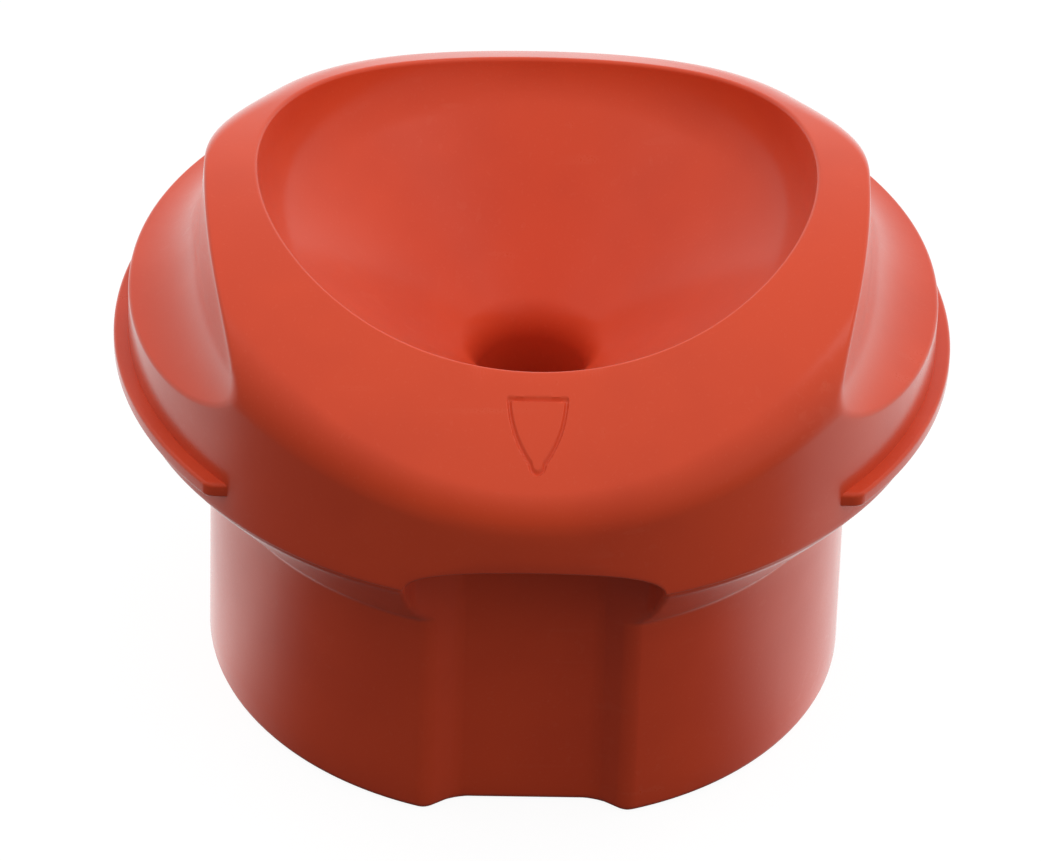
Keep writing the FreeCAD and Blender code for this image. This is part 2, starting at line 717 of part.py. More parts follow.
def make_ball(doc, size):
    """Float ball at rest on the cage's spokes."""
    ball = doc.addObject("Part::Sphere", "float_ball")
    bind(ball, "Radius", size.ball_radius)
    bind(ball, "Placement.Base.z", size.ball_rest)
    return ball


def check_document(doc, pieces):
    """Raise if any object failed, or a piece is missing or not sound."""
    for item in doc.Objects:
        for state in ("Invalid", "Error"):
            if state in item.State:
                raise RuntimeError(item.Name + " is " + state)
    for piece in pieces:
        if piece.Shape.isNull() or not piece.Shape.isValid():
            raise RuntimeError(piece.Label + " is not a valid solid")


def main():
    os.makedirs("parts", exist_ok=True)
    doc = FreeCAD.newDocument("pour_through_lid")
    size = Sizes(make_sheet(doc))
    shell = make_shell(doc, size)
    plug = make_plug(doc, size)
    space = make_channel_space(doc, size)
    arrow = make_arrow_line(doc, size)
    open_shell = cut_solid(doc, "shell_with_mouth", shell, space)
    pieces = [
        cut_solid(doc, "upper_shell", open_shell, arrow),
        cut_solid(doc, "plug_cup", plug, space),
        make_seal(doc, size),
        make_cage(doc, size),
        make_ball(doc, size),
    ]
    doc.recompute()
    check_document(doc, pieces)
    for piece in pieces:
        print("%-14s %d solid(s) %9.1f mm3" % (piece.Label, len(piece.Shape.Solids), piece.Shape.Volume))
        piece.Shape.exportStep("parts/" + piece.Label + ".step")


main()
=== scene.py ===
"""Looks of a pour-through jug lid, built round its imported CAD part: metres, +Z up, front at -Y."""

import math

import bmesh
import bpy
import numpy as np
from bpy.props import FloatProperty, FloatVectorProperty, IntProperty, PointerProperty
from mathutils import Matrix, Vector


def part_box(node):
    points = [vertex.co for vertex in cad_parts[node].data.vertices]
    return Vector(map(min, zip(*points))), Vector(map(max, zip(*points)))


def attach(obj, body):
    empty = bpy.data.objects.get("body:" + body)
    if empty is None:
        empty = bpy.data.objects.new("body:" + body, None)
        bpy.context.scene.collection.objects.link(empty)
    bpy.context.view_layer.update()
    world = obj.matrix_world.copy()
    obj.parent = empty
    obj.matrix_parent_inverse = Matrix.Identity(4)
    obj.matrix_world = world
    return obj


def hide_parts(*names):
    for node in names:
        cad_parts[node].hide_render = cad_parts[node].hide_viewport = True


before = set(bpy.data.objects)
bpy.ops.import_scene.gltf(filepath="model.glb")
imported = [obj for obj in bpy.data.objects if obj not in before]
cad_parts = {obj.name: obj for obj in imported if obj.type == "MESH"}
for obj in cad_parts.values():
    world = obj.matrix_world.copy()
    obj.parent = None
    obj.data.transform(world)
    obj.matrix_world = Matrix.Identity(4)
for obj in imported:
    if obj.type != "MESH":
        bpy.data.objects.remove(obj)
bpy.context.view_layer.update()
# The boxes of the CAD nodes, each as its lowest and highest corner.
SHELL_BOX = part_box("upper_shell")
CUP_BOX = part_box("plug_cup")
SEAL_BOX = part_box("throat_seal")
CAGE_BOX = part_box("valve_cage")
BALL_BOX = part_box("float_ball")
MM = 0.001
WHITE = (1.0, 1.0, 1.0, 1.0)

bl_info = {
    "name": "Pour-through jug lid",
    "version": (1, 0, 0),
    "blender": (4, 5, 0),
    "location": "View3D > Sidebar > Jug lid",
    "description": "Builds the mouldings, seal, cage and float of a pour-through jug lid",
    "category": "Add Mesh",
}


# ---------------------------------------------------------------- sizes and colours

def length(name, text, default):
    """A length property, in metres."""
    return FloatProperty(name=name, description=text, default=default, min=0.0, unit="LENGTH", precision=5)


def colour(name, text, default):
    """A colour property, as linear light."""
    return FloatVectorProperty(name=name, description=text, default=default, size=3, min=0.0, max=1.0,
                               subtype="COLOR")


class ShellSizes(bpy.types.PropertyGroup):
    """Sizes of the upper moulding."""
    wall_radius: length("Wall radius", "Outside of the wall", 37.7 * MM)
    wall_thickness: length("Wall thickness", "Thickness of the wall", 1.6 * MM)
    wall_bottom: length("Wall bottom", "Height of the wall's lower edge", SHELL_BOX[0].z + 17.43 * MM)
    lip_round: length("Lip rounding", "Rounding of the wall's lower edge", 0.3 * MM)
    ceiling: length("Ceiling", "Height of the flat ceiling over the air space", 38.2 * MM)
    core_top: length("Core top", "Top of the hollow between funnel and grips", 44.5 * MM)
    core_radius: length("Core radius", "Outer radius of that hollow", 28.6 * MM)
    arch_height: length("Arch height", "Crown of the arched top", SHELL_BOX[1].z)
    arch_radius: length("Arch radius", "Radius of the arch, which runs left to right", 64.09 * MM)
    arch_edge: length("Arch edge", "Rounding between the arch and the wall", 5.0 * MM)
    rim_radius: length("Rim radius", "Funnel radius at the crown", 25.8 * MM)
    rim_round: length("Rim rounding", "Rounding of the funnel's rim", 0.4 * MM)
    waist_radius: length("Waist radius", "Funnel radius under its steep wall", 25.2 * MM)
    waist_height: length("Waist height", "Height where the steep wall meets the cone", 47.4 * MM)
    waist_round: length("Waist rounding", "Rounding between the steep wall and the cone", 8.0 * MM)
    throat_radius: length("Throat radius", "Straight hole under the funnel", 5.0 * MM)
    throat_top: length("Throat top", "Height where the cone would meet the throat", 32.6 * MM)
    throat_round: length("Throat rounding", "Rounding between the cone and the throat", 4.6 * MM)
    throat_wall: length("Throat wall", "Thickness of the throat tube", 1.6 * MM)
    grip_half_width: length("Grip half width", "Middle of the lid to the crest of a grip", 30.7 * MM)
    grip_plan_radius: length("Grip plan radius", "Curve of the crest seen from above", 86.0 * MM)
    grip_floor: length("Grip floor", "Height of the ledge at the front end of a grip", 40.3 * MM)
    back_floor: length("Back floor", "Height of the ledge behind", 39.4 * MM)
    hollow_radius: length("Hollow radius", "Curve of the grip hollow in section", 7.4 * MM)
    grip_lean: length("Grip lean", "How far the grip face leans out", 0.4 * MM)
    crest_round: length("Crest rounding", "Rounding of the grip's crest", 0.35 * MM)
    back_round: length("Back rounding", "Rounding of the crest behind", 5.5 * MM)


class RibSizes(bpy.types.PropertyGroup):
    """Sizes of the locking ribs."""
    radius: length("Radius", "Outer radius of the ribs", SHELL_BOX[1].x)
    bottom: length("Bottom", "Height of the ribs' underside", 33.9 * MM)
    thickness: length("Thickness", "Thickness of the ribs", 1.5 * MM)
    half_span: length("Half span", "Middle of the lid to a rib's flat end", 25.3 * MM)
    edge: length("Edge", "Rounding of the ribs' edges", 0.34 * MM)
    root: length("Root", "How deep the ribs reach into the wall", 0.5 * MM)
    reach: length("Reach", "Root to outer face", 1.9 * MM)
    end_bevel: length("End bevel", "Length of the rounded ends", 0.5 * MM)


class ArrowSizes(bpy.types.PropertyGroup):
    """Sizes of the engraved arrow."""
    half_width: length("Half width", "Half the width of the back edge", 2.6 * MM)
    back: length("Back", "Middle of the lid to the back edge", 27.7 * MM)
    tip: length("Tip", "Middle of the lid to the tip", 34.1 * MM)
    side_radius: length("Side radius", "Curve of the sides", 9.8 * MM)
    line: length("Line", "Width of the engraved line", 0.42 * MM)
    depth: length("Depth", "Depth of the engraved line", 0.26 * MM)


class CupSizes(bpy.types.PropertyGroup):
    """Sizes of the lower moulding."""
    radius: length("Radius", "Straight plug", 30.0 * MM)
    height: length("Height", "Underside to the start of the shoulder", 22.4 * MM)
    edge_round: length("Edge rounding", "Rounding of the lower edge", 0.9 * MM)
    wall: length("Wall", "Thickness of wall and floor", 1.8 * MM)
    shoulder_radius: length("Shoulder radius", "Top of the conical shoulder", CUP_BOX[1].x)
    shoulder_rim: length("Shoulder rim", "Upright rim at the top of the shoulder", 0.8 * MM)
    rim_round: length("Rim rounding", "Rounding under that rim", 1.6 * MM)
    spigot_radius: length("Spigot radius", "Rim that stands up inside the wall", 36.05 * MM)
    spigot_top: length("Spigot top", "Top of that rim", CUP_BOX[1].z)
    collar_radius: length("Collar radius", "Inside of the collar", 8.0 * MM)
    collar_top: length("Collar top", "Top of the collar", 20.07 * MM)
    floor_depth: length("Channel floor", "Middle of the lid to the channel's floor", 26.65 * MM)
    floor_half: length("Floor half width", "Half the width of the channel's floor", 6.5 * MM)
    flank_half: length("Flank half width", "Half the width where flank and plug meet", 9.3 * MM)
    lobe_half: length("Lobe half width", "Half the width where flank and mouth wall meet", 11.1 * MM)
    mouth_half: length("Mouth half width", "Half the width of the mouth", 12.0 * MM)
    floor_blend: length("Floor blend", "Rounding between floor and flank", 2.6 * MM)
    wall_blend: length("Wall blend", "Rounding between flank and mouth wall", 0.8 * MM)
    edge_blend: length("Edge blend", "Rounding of the channel's outer edges", 0.85 * MM)
    rim_blend: length("Rim blend", "Rounding of the mouth's ends on the shoulder", 0.6 * MM)
    springing: length("Springing", "Height where the mouth's arch begins", 31.3 * MM)
    rise: length("Rise", "Rise of the mouth's arch", 3.9 * MM)


class LidColours(bpy.types.PropertyGroup):
    """Colours and finish of the materials."""
    red: colour("Red", "Moulded red plastic", (0.68, 0.068, 0.023))
    deep_red: colour("Deep red", "Darker clouds in the red plastic", (0.60, 0.056, 0.020))
    scuff: colour("Scuff", "Rubbed edges and fine scratches", (0.78, 0.20, 0.12))
    silicone: colour("Silicone", "Throat seal", (0.62, 0.60, 0.55))
    cage: colour("Cage", "Natural plastic of the cage", (0.74, 0.72, 0.66))
    ball: colour("Ball", "Float ball", (0.80, 0.79, 0.75))
    floor: colour("Floor", "Studio floor", (0.93, 0.93, 0.93))
    gloss: FloatProperty(name="Gloss", description="Roughness of the red plastic", default=0.33, min=0.0,
                         max=1.0, subtype="FACTOR")


class LidSettings(bpy.types.PropertyGroup):
    """Everything that a user would change."""
    shell: PointerProperty(type=ShellSizes)
    rib: PointerProperty(type=RibSizes)
    arrow: PointerProperty(type=ArrowSizes)
    cup: PointerProperty(type=CupSizes)
    colours: PointerProperty(type=LidColours)
    columns: IntProperty(name="Columns", description="Steps round each moulding", default=400, min=60,
                         max=600)


# ---------------------------------------------------------------- lines and skins

# What a rounding takes off a square corner, as a share of its radius.
SQUARE_CORNER = 1.0 - math.sqrt(0.5)
# A turn that draws as many points to itself as one step of straight line does.
BEND_OF_ONE_STEP = math.radians(9.0)
RAY_HALVINGS = 34
MERGE_DISTANCE = 1e-7
FLAT_DISTANCE = 1e-8
SHARP_ANGLE = math.radians(38.0)


def smooth_step(value):
    """0 below 0, 1 above 1, and an even curve between."""
    held = np.clip(value, 0.0, 1.0)
    return held * held * (3.0 - 2.0 * held)


def round_overlap(first, second, radius):
    """Where two solids overlap, from their signed distances, with the shared edge rounded."""
    along = np.maximum(first + radius, 0.0)
    across = np.maximum(second + radius, 0.0)
    return np.minimum(-radius, np.maximum(first, second)) + np.hypot(along, across)


def fair_radius(radius, cosine):
    """The radius to give round_overlap so that a corner of this turn looks like a true rounding."""
    half = np.sqrt((1.0 + np.clip(cosine, -1.0, 1.0)) / 2.0)
    return radius * (1.0 - half) / SQUARE_CORNER


def rounded(points, radii, steps=8):
    """A line through the points, with each inner corner rounded to its radius."""
    places = [np.array(point, float) for point in points]
    line = [places[0]]
    for before, corner, after, radius in zip(places, places[1:], places[2:], radii):
        if radius == 0.0:
            line.append(corner)
            continue
        back = (before - corner) / np.linalg.norm(before - corner)
        ahead = (after - corner) / np.linalg.norm(after - corner)
        half = math.acos(float(np.clip(back @ ahead, -1.0, 1.0))) / 2.0
        middle = back + ahead
        centre = corner + middle / np.linalg.norm(middle) * radius / math.sin(half)
        start = corner + back * radius / math.tan(half) - centre
        stop = corner + ahead * radius / math.tan(half) - centre
        begin = math.atan2(start[1], start[0])
        turn = (math.atan2(stop[1], stop[0]) - begin + math.pi) % (2.0 * math.pi) - math.pi
        for step in range(steps + 1):
            angle = begin + turn * step / steps
            line.append(centre + radius * np.array([math.cos(angle), math.sin(angle)]))
    line.append(places[-1])
    return np.array(line)


def with_steps(line, longest):
    """The same line with extra points, so that no run is longer than asked."""
    points = [line[0]]
    for start, stop in zip(line[:-1], line[1:]):
        count = max(1, math.ceil(float(np.linalg.norm(stop - start)) / longest))
        for step in range(1, count + 1):
            points.append(start + (stop - start) * step / count)
    return np.array(points)


def spread(line, weight, count):
    """Count points along a line, closest together where the weight is high."""
    runs = np.linalg.norm(np.diff(line, axis=0), axis=1)
    heading = np.unwrap(np.arctan2(np.diff(line[:, 1]), np.diff(line[:, 0])))
    bend = np.abs(np.diff(heading, prepend=heading[0]))
    share = runs * weight + bend / BEND_OF_ONE_STEP
    total = np.concatenate([[0.0], np.cumsum(share)])
    places = np.linspace(0.0, total[-1], count)
    return np.stack([np.interp(places, total, line[:, axis]) for axis in range(line.shape[1])], axis=1)


def ray_ends(star, turn, reach, is_inside):
    """Where rays from one point leave a solid, found by halving their length again and again."""
    near = np.zeros_like(turn)
    far = np.full_like(turn, reach)
    for _ in range(RAY_HALVINGS):
        middle = (near + far) / 2.0
        inside = is_inside(star[0] + middle * np.cos(turn), star[1] + middle * np.sin(turn))
        near = np.where(inside, middle, near)
        far = np.where(inside, far, middle)
    return np.stack([star[0] + near * np.cos(turn), star[1] + near * np.sin(turn)], axis=-1)


def skin(name, grid, closed=True):
    """A smooth mesh object over a grid of points: rows run one way, and columns close in a ring."""
    rows, columns, _ = grid.shape
    index = np.arange(rows * columns).reshape(rows, columns)
    if closed:
        index = np.concatenate([index, index[:1]])
    here = index[:-1]
    above = index[1:]
    faces = np.stack([here, np.roll(here, -1, 1), np.roll(above, -1, 1), above], axis=2).reshape(-1, 4)
    mesh = bpy.data.meshes.new(name)
    mesh.from_pydata(grid.reshape(-1, 3).tolist(), [], faces.tolist())
    return finish_mesh(name, mesh)


def finish_mesh(name, mesh):
    """Merge doubled points, face the mesh outwards, shade it smooth and link its object."""
    build = bmesh.new()
    build.from_mesh(mesh)
    bmesh.ops.remove_doubles(build, verts=build.verts, dist=MERGE_DISTANCE)
    bmesh.ops.dissolve_degenerate(build, edges=build.edges, dist=FLAT_DISTANCE)
    bmesh.ops.recalc_face_normals(build, faces=build.faces)
    if build.calc_volume(signed=True) < 0.0:
        bmesh.ops.reverse_faces(build, faces=build.faces)
    build.to_mesh(mesh)
    build.free()
    mesh.polygons.foreach_set("use_smooth", [True] * len(mesh.polygons))
    mesh.set_sharp_from_angle(angle=SHARP_ANGLE)
    piece = bpy.data.objects.new(name, mesh)
    bpy.context.scene.collection.objects.link(piece)
    return piece


# ---------------------------------------------------------------- upper moulding

FUNNEL_STEPS = 16
FUNNEL_OVERRUN = 4.0 * MM
TUBE_BELOW_SEAL = 2.4 * MM
FUNNEL_PROBE = 0.05 * MM
# Angles from the front where the crest softens and the ledge sinks, and how long each takes.
SOFTENING = (math.radians(88.0), math.radians(37.0))
SINKING = (math.radians(80.0), math.radians(60.0))
# Height where the softer crest begins, and the climb over which it comes in.
SOFT_HEIGHT = (42.0 * MM, 3.0 * MM)
# The arrow's columns stand close together on each side of the front, and the mouth's beside them.
ARROW_TURN = math.radians(6.2)
ARROW_COLUMNS = 121
MOUTH_COLUMNS = 34
COLUMN_GAP = math.radians(0.3)
# The rays that find a section's outside start here, as radius and height.
SHELL_STAR = (28.0 * MM, 34.7 * MM)
SHELL_RAYS = 1500
SHELL_RAY_REACH = 22.0 * MM
JOIN_BELOW_WAIST = 2.6 * MM
JOIN_GAP = 0.4 * MM
FUNNEL_ROW = 4.0 * MM
# Angle from the front where the arrow's fine rows fade out, and how long that takes.
FINE_FRONT = (math.radians(6.0), math.radians(9.0))
LAND_HEIGHT = 40.5 * MM
LAND_RADIUS = 26.4 * MM
FACE_STEP = 0.9 * MM
ARROW_STEP = 0.085 * MM
FACE_POINTS = 134
ENGRAVED_ABOVE = 40.0 * MM
ENGRAVE_BEHIND = 1.5 * MM
ENGRAVE_BESIDE = 1.0 * MM
GROOVE_POWER = 0.8
ARROW_SIDE_SHARE = 0.86
ARROW_SIDE_POINTS = 30
ARROW_TIP_POINTS = 13
HIDDEN_EDGE = 0.25 * MM
FUNNEL_WALL = 2.9 * MM
TUBE_SHORT = 0.4 * MM
RIB_ROWS = 96
RIB_END_ROWS = 6
RIB_EDGE_STEPS = 6
RIB_END_HEIGHT = 0.55


def funnel_line(size):
    """The funnel's section from the throat's lower end to above the rim, as radius and height."""
    climb = (size.rim_radius - size.waist_radius) / (size.arch_height - size.waist_height)
    low = SEAL_BOX[0].z - TUBE_BELOW_SEAL
    points = [(size.throat_radius, low), (size.throat_radius, size.throat_top),
              (size.waist_radius, size.waist_height),
              (size.rim_radius + climb * FUNNEL_OVERRUN, size.arch_height + FUNNEL_OVERRUN)]
    return rounded(points, [size.throat_round, size.waist_round], steps=FUNNEL_STEPS)


def moulding_distance(size, funnel, angle, radius, height):
    """Signed distance to the upper moulding's outside: wall, arch, grip hollows and funnel."""
    across = radius * np.sin(angle)
    along = -radius * np.cos(angle)
    arch = np.hypot(along, height - size.arch_height + size.arch_radius) - size.arch_radius
    facing = along ** 2 / (size.arch_radius * radius)
    body = round_overlap(arch, radius - size.wall_radius, fair_radius(size.arch_edge, facing))
    behind = smooth_step((np.abs(angle) - SOFTENING[0]) / SOFTENING[1])
    lowered = smooth_step((np.abs(angle) - SINKING[0]) / SINKING[1])
    axis = size.grip_plan_radius - size.grip_half_width
    crest = np.hypot(np.abs(across) + axis, along) - size.grip_plan_radius
    beyond = np.where(along < 0.0, crest, radius - size.grip_half_width)
    ledge = size.grip_floor + (size.back_floor - size.grip_floor) * lowered
    hollow_height = ledge + size.hollow_radius
    hollow_reach = size.grip_lean + size.hollow_radius
    tilt = size.grip_lean / (size.arch_height - size.grip_floor - size.hollow_radius)
    scoop = size.hollow_radius - np.hypot(beyond - hollow_reach, height - hollow_height)
    scoop = np.where(beyond < hollow_reach, scoop, height - ledge)
    level = beyond - hollow_reach + size.hollow_radius * math.cos(tilt)
    lift = height - hollow_height + size.hollow_radius * math.sin(tilt)
    face = level * math.cos(tilt) + lift * math.sin(tilt)
    hollow = np.where(lift * math.cos(tilt) < level * math.sin(tilt), scoop, face)
    upper = smooth_step((height - SOFT_HEIGHT[0]) / SOFT_HEIGHT[1])
    edge = size.crest_round + (size.back_round - size.crest_round) * behind * upper
    body = round_overlap(body, hollow, fair_radius(edge, facing))
    steep = np.interp(height, funnel[:, 1], funnel[:, 0])
    steeper = np.interp(height + FUNNEL_PROBE, funnel[:, 1], funnel[:, 0])
    lean = 1.0 / np.hypot(1.0, (steeper - steep) / FUNNEL_PROBE)
    return round_overlap(body, (steep - radius) * lean, size.rim_round)


def mouth_edge(size, cup, angle, radius):
    """Height of the wall's lower edge, which rises in an arch over the pouring mouth."""
    across = np.abs(radius * np.sin(angle)) / cup.mouth_half
    arch = cup.springing + cup.rise * np.sqrt(np.maximum(1.0 - across ** 2, 0.0))
    front = (np.cos(angle) > 0.0) & (across < 1.0)
    return np.where(front, np.maximum(arch, size.wall_bottom), size.wall_bottom)


def shell_angles(settings):
    """Angles of the shell's columns from the front: close together at the arrow and the mouth."""
    size = settings.shell
    arrow = np.linspace(-ARROW_TURN, ARROW_TURN, ARROW_COLUMNS)
    reach = math.asin(settings.cup.mouth_half / size.wall_radius)
    mouth = np.arcsin(np.sin(np.linspace(0.0, math.pi / 2.0, MOUTH_COLUMNS)) * math.sin(reach))
    mouth = mouth[mouth > ARROW_TURN + COLUMN_GAP]
    rest = np.linspace(reach, math.pi, settings.columns // 2)[1:-1]
    side = np.concatenate([mouth, rest])
    return np.concatenate([[-math.pi], -side[::-1], arrow, side])


def shell_outside(size, cup, funnel, angles, join):
    """Where rays from a ring inside the moulding meet its outside, for each angle round the lid."""
    low = mouth_edge(size, cup, angles, size.wall_radius) + size.lip_round
    begin = np.arctan2(low - SHELL_STAR[1], size.wall_radius - SHELL_STAR[0])
    end = math.atan2(join[1] - SHELL_STAR[1], join[0] - SHELL_STAR[0])
    turn = begin + (end - begin) * np.linspace(0.0, 1.0, SHELL_RAYS)[:, None]

    def in_moulding(radius, height):
        """Tell which places lie in the moulding."""
        return moulding_distance(size, funnel, angles, radius, height) < 0.0

    return ray_ends(SHELL_STAR, turn, SHELL_RAY_REACH, in_moulding)


def arrow_outline(size):
    """The arrow's outline in plan: a straight back edge, two bowed sides and a rounded tip."""
    corner = np.array([size.half_width, -size.back])
    chord = np.array([0.0, -size.tip]) - corner
    run = float(np.linalg.norm(chord))
    bulge = size.side_radius - math.sqrt(size.side_radius ** 2 - run ** 2 / 4.0)
    outward = np.array([-chord[1], chord[0]]) / run
    share = np.linspace(0.0, ARROW_SIDE_SHARE, ARROW_SIDE_POINTS)[:, None]
    side = corner + chord * share + outward * (4.0 * bulge * share * (1.0 - share))
    nose = side[-1, 0]
    turn = np.linspace(0.0, math.pi, ARROW_TIP_POINTS)[1:-1, None]
    drop = size.tip + side[-1, 1]
    tip = side[-1] * [0.0, 1.0] + np.concatenate([nose * np.cos(turn), -drop * np.sin(turn)], axis=1)
    return np.concatenate([side, tip, side[::-1] * [-1.0, 1.0], side[:1]])


def line_distance(points, line):
    """Shortest distance from each point to a line of straight runs."""
    nearest = np.full(points.shape[:-1], np.inf)
    for start, stop in zip(line[:-1], line[1:]):
        run = stop - start
        share = ((points - start) @ run) / (run @ run)
        foot = start + np.clip(share, 0.0, 1.0)[..., None] * run
        nearest = np.minimum(nearest, np.linalg.norm(points - foot, axis=-1))
    return nearest


def shell_grid(settings):
    """Points of the upper moulding: closed sections, one for each angle round the lid."""
    size = settings.shell
    cup = settings.cup
    funnel = funnel_line(size)
    angles = shell_angles(settings)
    join_height = size.waist_height - JOIN_BELOW_WAIST
    join = (float(np.interp(join_height, funnel[:, 1], funnel[:, 0])), join_height)
    outside = shell_outside(size, cup, funnel, angles, join)
    inner_funnel = with_steps(funnel[funnel[:, 1] < join_height - JOIN_GAP], FUNNEL_ROW)[::-1]
    sections = []
    for column, angle in enumerate(angles):
        front = 1.0 - smooth_step((abs(angle) - FINE_FRONT[0]) / FINE_FRONT[1])
        line = outside[:, column]
        on_land = (line[:, 1] > LAND_HEIGHT) & (line[:, 0] > LAND_RADIUS)
        weight = np.where(on_land, 1.0 / FACE_STEP + front / ARROW_STEP, 1.0 / FACE_STEP)
        face = spread(line, weight[1:], FACE_POINTS)
        sections.append(np.concatenate([inner_funnel, shell_underside(size, cup, angle, funnel), face]))
    sections = np.stack(sections, axis=1)
    radius = sections[..., 0]
    grid = np.stack([radius * np.sin(angles), -radius * np.cos(angles), sections[..., 1]], axis=2)
    engrave(grid, settings.arrow)
    return grid


def shell_underside(size, cup, angle, funnel):
    """Section from the throat's lower end, under the funnel and down the wall to its lip."""
    low = funnel[0][1]
    tube = size.throat_radius + size.throat_wall
    edge = HIDDEN_EDGE
    inner = size.wall_radius - size.wall_thickness
    slope = (size.waist_radius - size.throat_radius) / (size.waist_height - size.throat_top)
    under = size.throat_radius + slope * (size.core_top - size.throat_top) + FUNNEL_WALL
    low_inner = float(mouth_edge(size, cup, angle, inner))
    low_outer = float(mouth_edge(size, cup, angle, size.wall_radius))
    points = [(size.throat_radius + edge, low), (tube - edge, low), (tube, low + edge),
              (tube, size.throat_top - TUBE_SHORT), (under, size.core_top),
              (size.core_radius, size.core_top), (size.core_radius, size.ceiling),
              (inner, size.ceiling), (inner, low_inner + edge),
              (inner + edge, low_inner), (size.wall_radius - size.lip_round, low_outer)]
    for turn in (math.pi / 6.0, math.pi / 3.0):
        points.append((size.wall_radius - size.lip_round * (1.0 - math.sin(turn)),
                       low_outer + size.lip_round * (1.0 - math.cos(turn))))
    return np.array(points)


def engrave(grid, arrow):
    """Press the arrow's line into the land, as a round-bottomed groove."""
    near = (grid[..., 2] > ENGRAVED_ABOVE) & (grid[..., 1] < -arrow.back + ENGRAVE_BEHIND)
    near &= np.abs(grid[..., 0]) < arrow.half_width + ENGRAVE_BESIDE
    gap = line_distance(grid[near][:, :2], arrow_outline(arrow))
    share = np.clip(gap / (arrow.line / 2.0), 0.0, 1.0)
    pressed = grid[near]
    pressed[:, 2] -= arrow.depth * np.cos(share * math.pi / 2.0) ** GROOVE_POWER
    grid[near] = pressed


def rib_mesh(settings, side):
    """One locking rib: a rounded band that follows the wall between two bevelled ends."""
    size = settings.rib
    inner = settings.shell.wall_radius - size.root
    corners = [(inner, size.bottom), (size.radius, size.bottom),
               (size.radius, size.bottom + size.thickness), (inner, size.bottom + size.thickness)]
    band = rounded(corners, [size.edge, size.edge], steps=RIB_EDGE_STEPS)
    middle = np.array([inner, size.bottom + size.thickness / 2.0])
    ends = []
    for turn in np.linspace(0.0, math.pi / 2.0, RIB_END_ROWS):
        ends.append((size.half_span - size.end_bevel * (1.0 - math.cos(turn)), math.sin(turn)))
    share = np.sin(np.linspace(-math.pi / 2.0, math.pi / 2.0, RIB_ROWS))
    rows = [(-along, fill) for along, fill in ends]
    rows += [(value * (size.half_span - size.end_bevel), 1.0) for value in share[1:-1]]
    rows += ends[::-1]
    grid = []
    for along, fill in rows:
        scale = np.array([1.0 - size.end_bevel / size.reach * (1.0 - fill),
                          RIB_END_HEIGHT + (1.0 - RIB_END_HEIGHT) * fill])
        ring = middle + (band - middle) * scale
        across = side * np.sqrt(ring[:, 0] ** 2 - along ** 2)
        grid.append(np.stack([across, np.full(len(ring), along), ring[:, 1]], axis=1))
    grid = np.array(grid)
    caps = []
    for ring in (grid[0], grid[-1]):
        caps.append(np.repeat(ring.mean(axis=0)[None], len(ring), axis=0))
    return skin("rib", np.concatenate([caps[0][None], grid, caps[1][None]]), closed=False)


class LID_OT_upper_shell(bpy.types.Operator):
    """Build the upper moulding: funnel, grips, arrow, wall and locking ribs."""
    bl_idname = "lid.upper_shell"
    bl_label = "Upper shell"

    def execute(self, context):
        settings = context.scene.lid
        shell = skin("upper_shell_moulding", shell_grid(settings))
        ribs = [rib_mesh(settings, side) for side in (-1.0, 1.0)]
        join_into(shell, ribs)
        dress(shell, red_plastic(settings.colours), "lid", "upper_shell")
        return {"FINISHED"}


# ---------------------------------------------------------------- lower moulding

LEAST_WIDTH = 1e-3
# The rays that find an outline start here, at the right of the middle and in front of it.
CUP_STAR = (16.0 * MM, -22.0 * MM)
CUP_RAYS = 700
CUP_RAY_REACH = 30.0 * MM
# Up to this angle from the front the outline may leave the circle.
FRONT_LIMIT = math.radians(52.0)
FRONT_STEP = 0.9 * MM
SEAT_EDGE = 0.18 * MM
SIDE_STEPS = 5
SIDE_ROW = 2.4 * MM
LOWER_EDGE_ROWS = 7
BLEND_CLIMB = 5.0 * MM
MOUTH_ROWS = 14
MOUTH_EDGE = 0.3 * MM
SPIGOT_EDGE = 0.2 * MM
INSIDE_RISE = 1.0 * MM
INSIDE_EDGE = 0.6 * MM
COLLAR_EDGE = 0.3 * MM
COLLAR_CORNER = 0.09 * MM


def channel_distance(cup, across, along, narrow):
    """Signed distance into the pouring channel in plan, positive in its empty room."""
    width = np.maximum(narrow, LEAST_WIDTH)
    across = np.abs(across) / width
    meet = math.sqrt(cup.radius ** 2 - cup.flank_half ** 2)
    slope = math.atan2(meet - cup.floor_depth, cup.flank_half - cup.floor_half)
    edge = cup.floor_depth + (cup.lobe_half - cup.floor_half) * math.tan(slope)
    outer = math.sqrt((cup.shoulder_radius + cup.wall) ** 2 - cup.mouth_half ** 2)
    lean = math.atan2(cup.mouth_half - cup.lobe_half, outer - edge)
    floor = -along - cup.floor_depth
    flank = -(across - cup.floor_half) * math.sin(slope) - (along + cup.floor_depth) * math.cos(slope)
    wall = -(across - cup.lobe_half) * math.cos(lean) - (along + edge) * math.sin(lean)
    room = round_overlap(-floor, -flank * width, fair_radius(cup.floor_blend, math.cos(slope)) * width)
    return -round_overlap(room, -wall * width, cup.wall_blend * width)


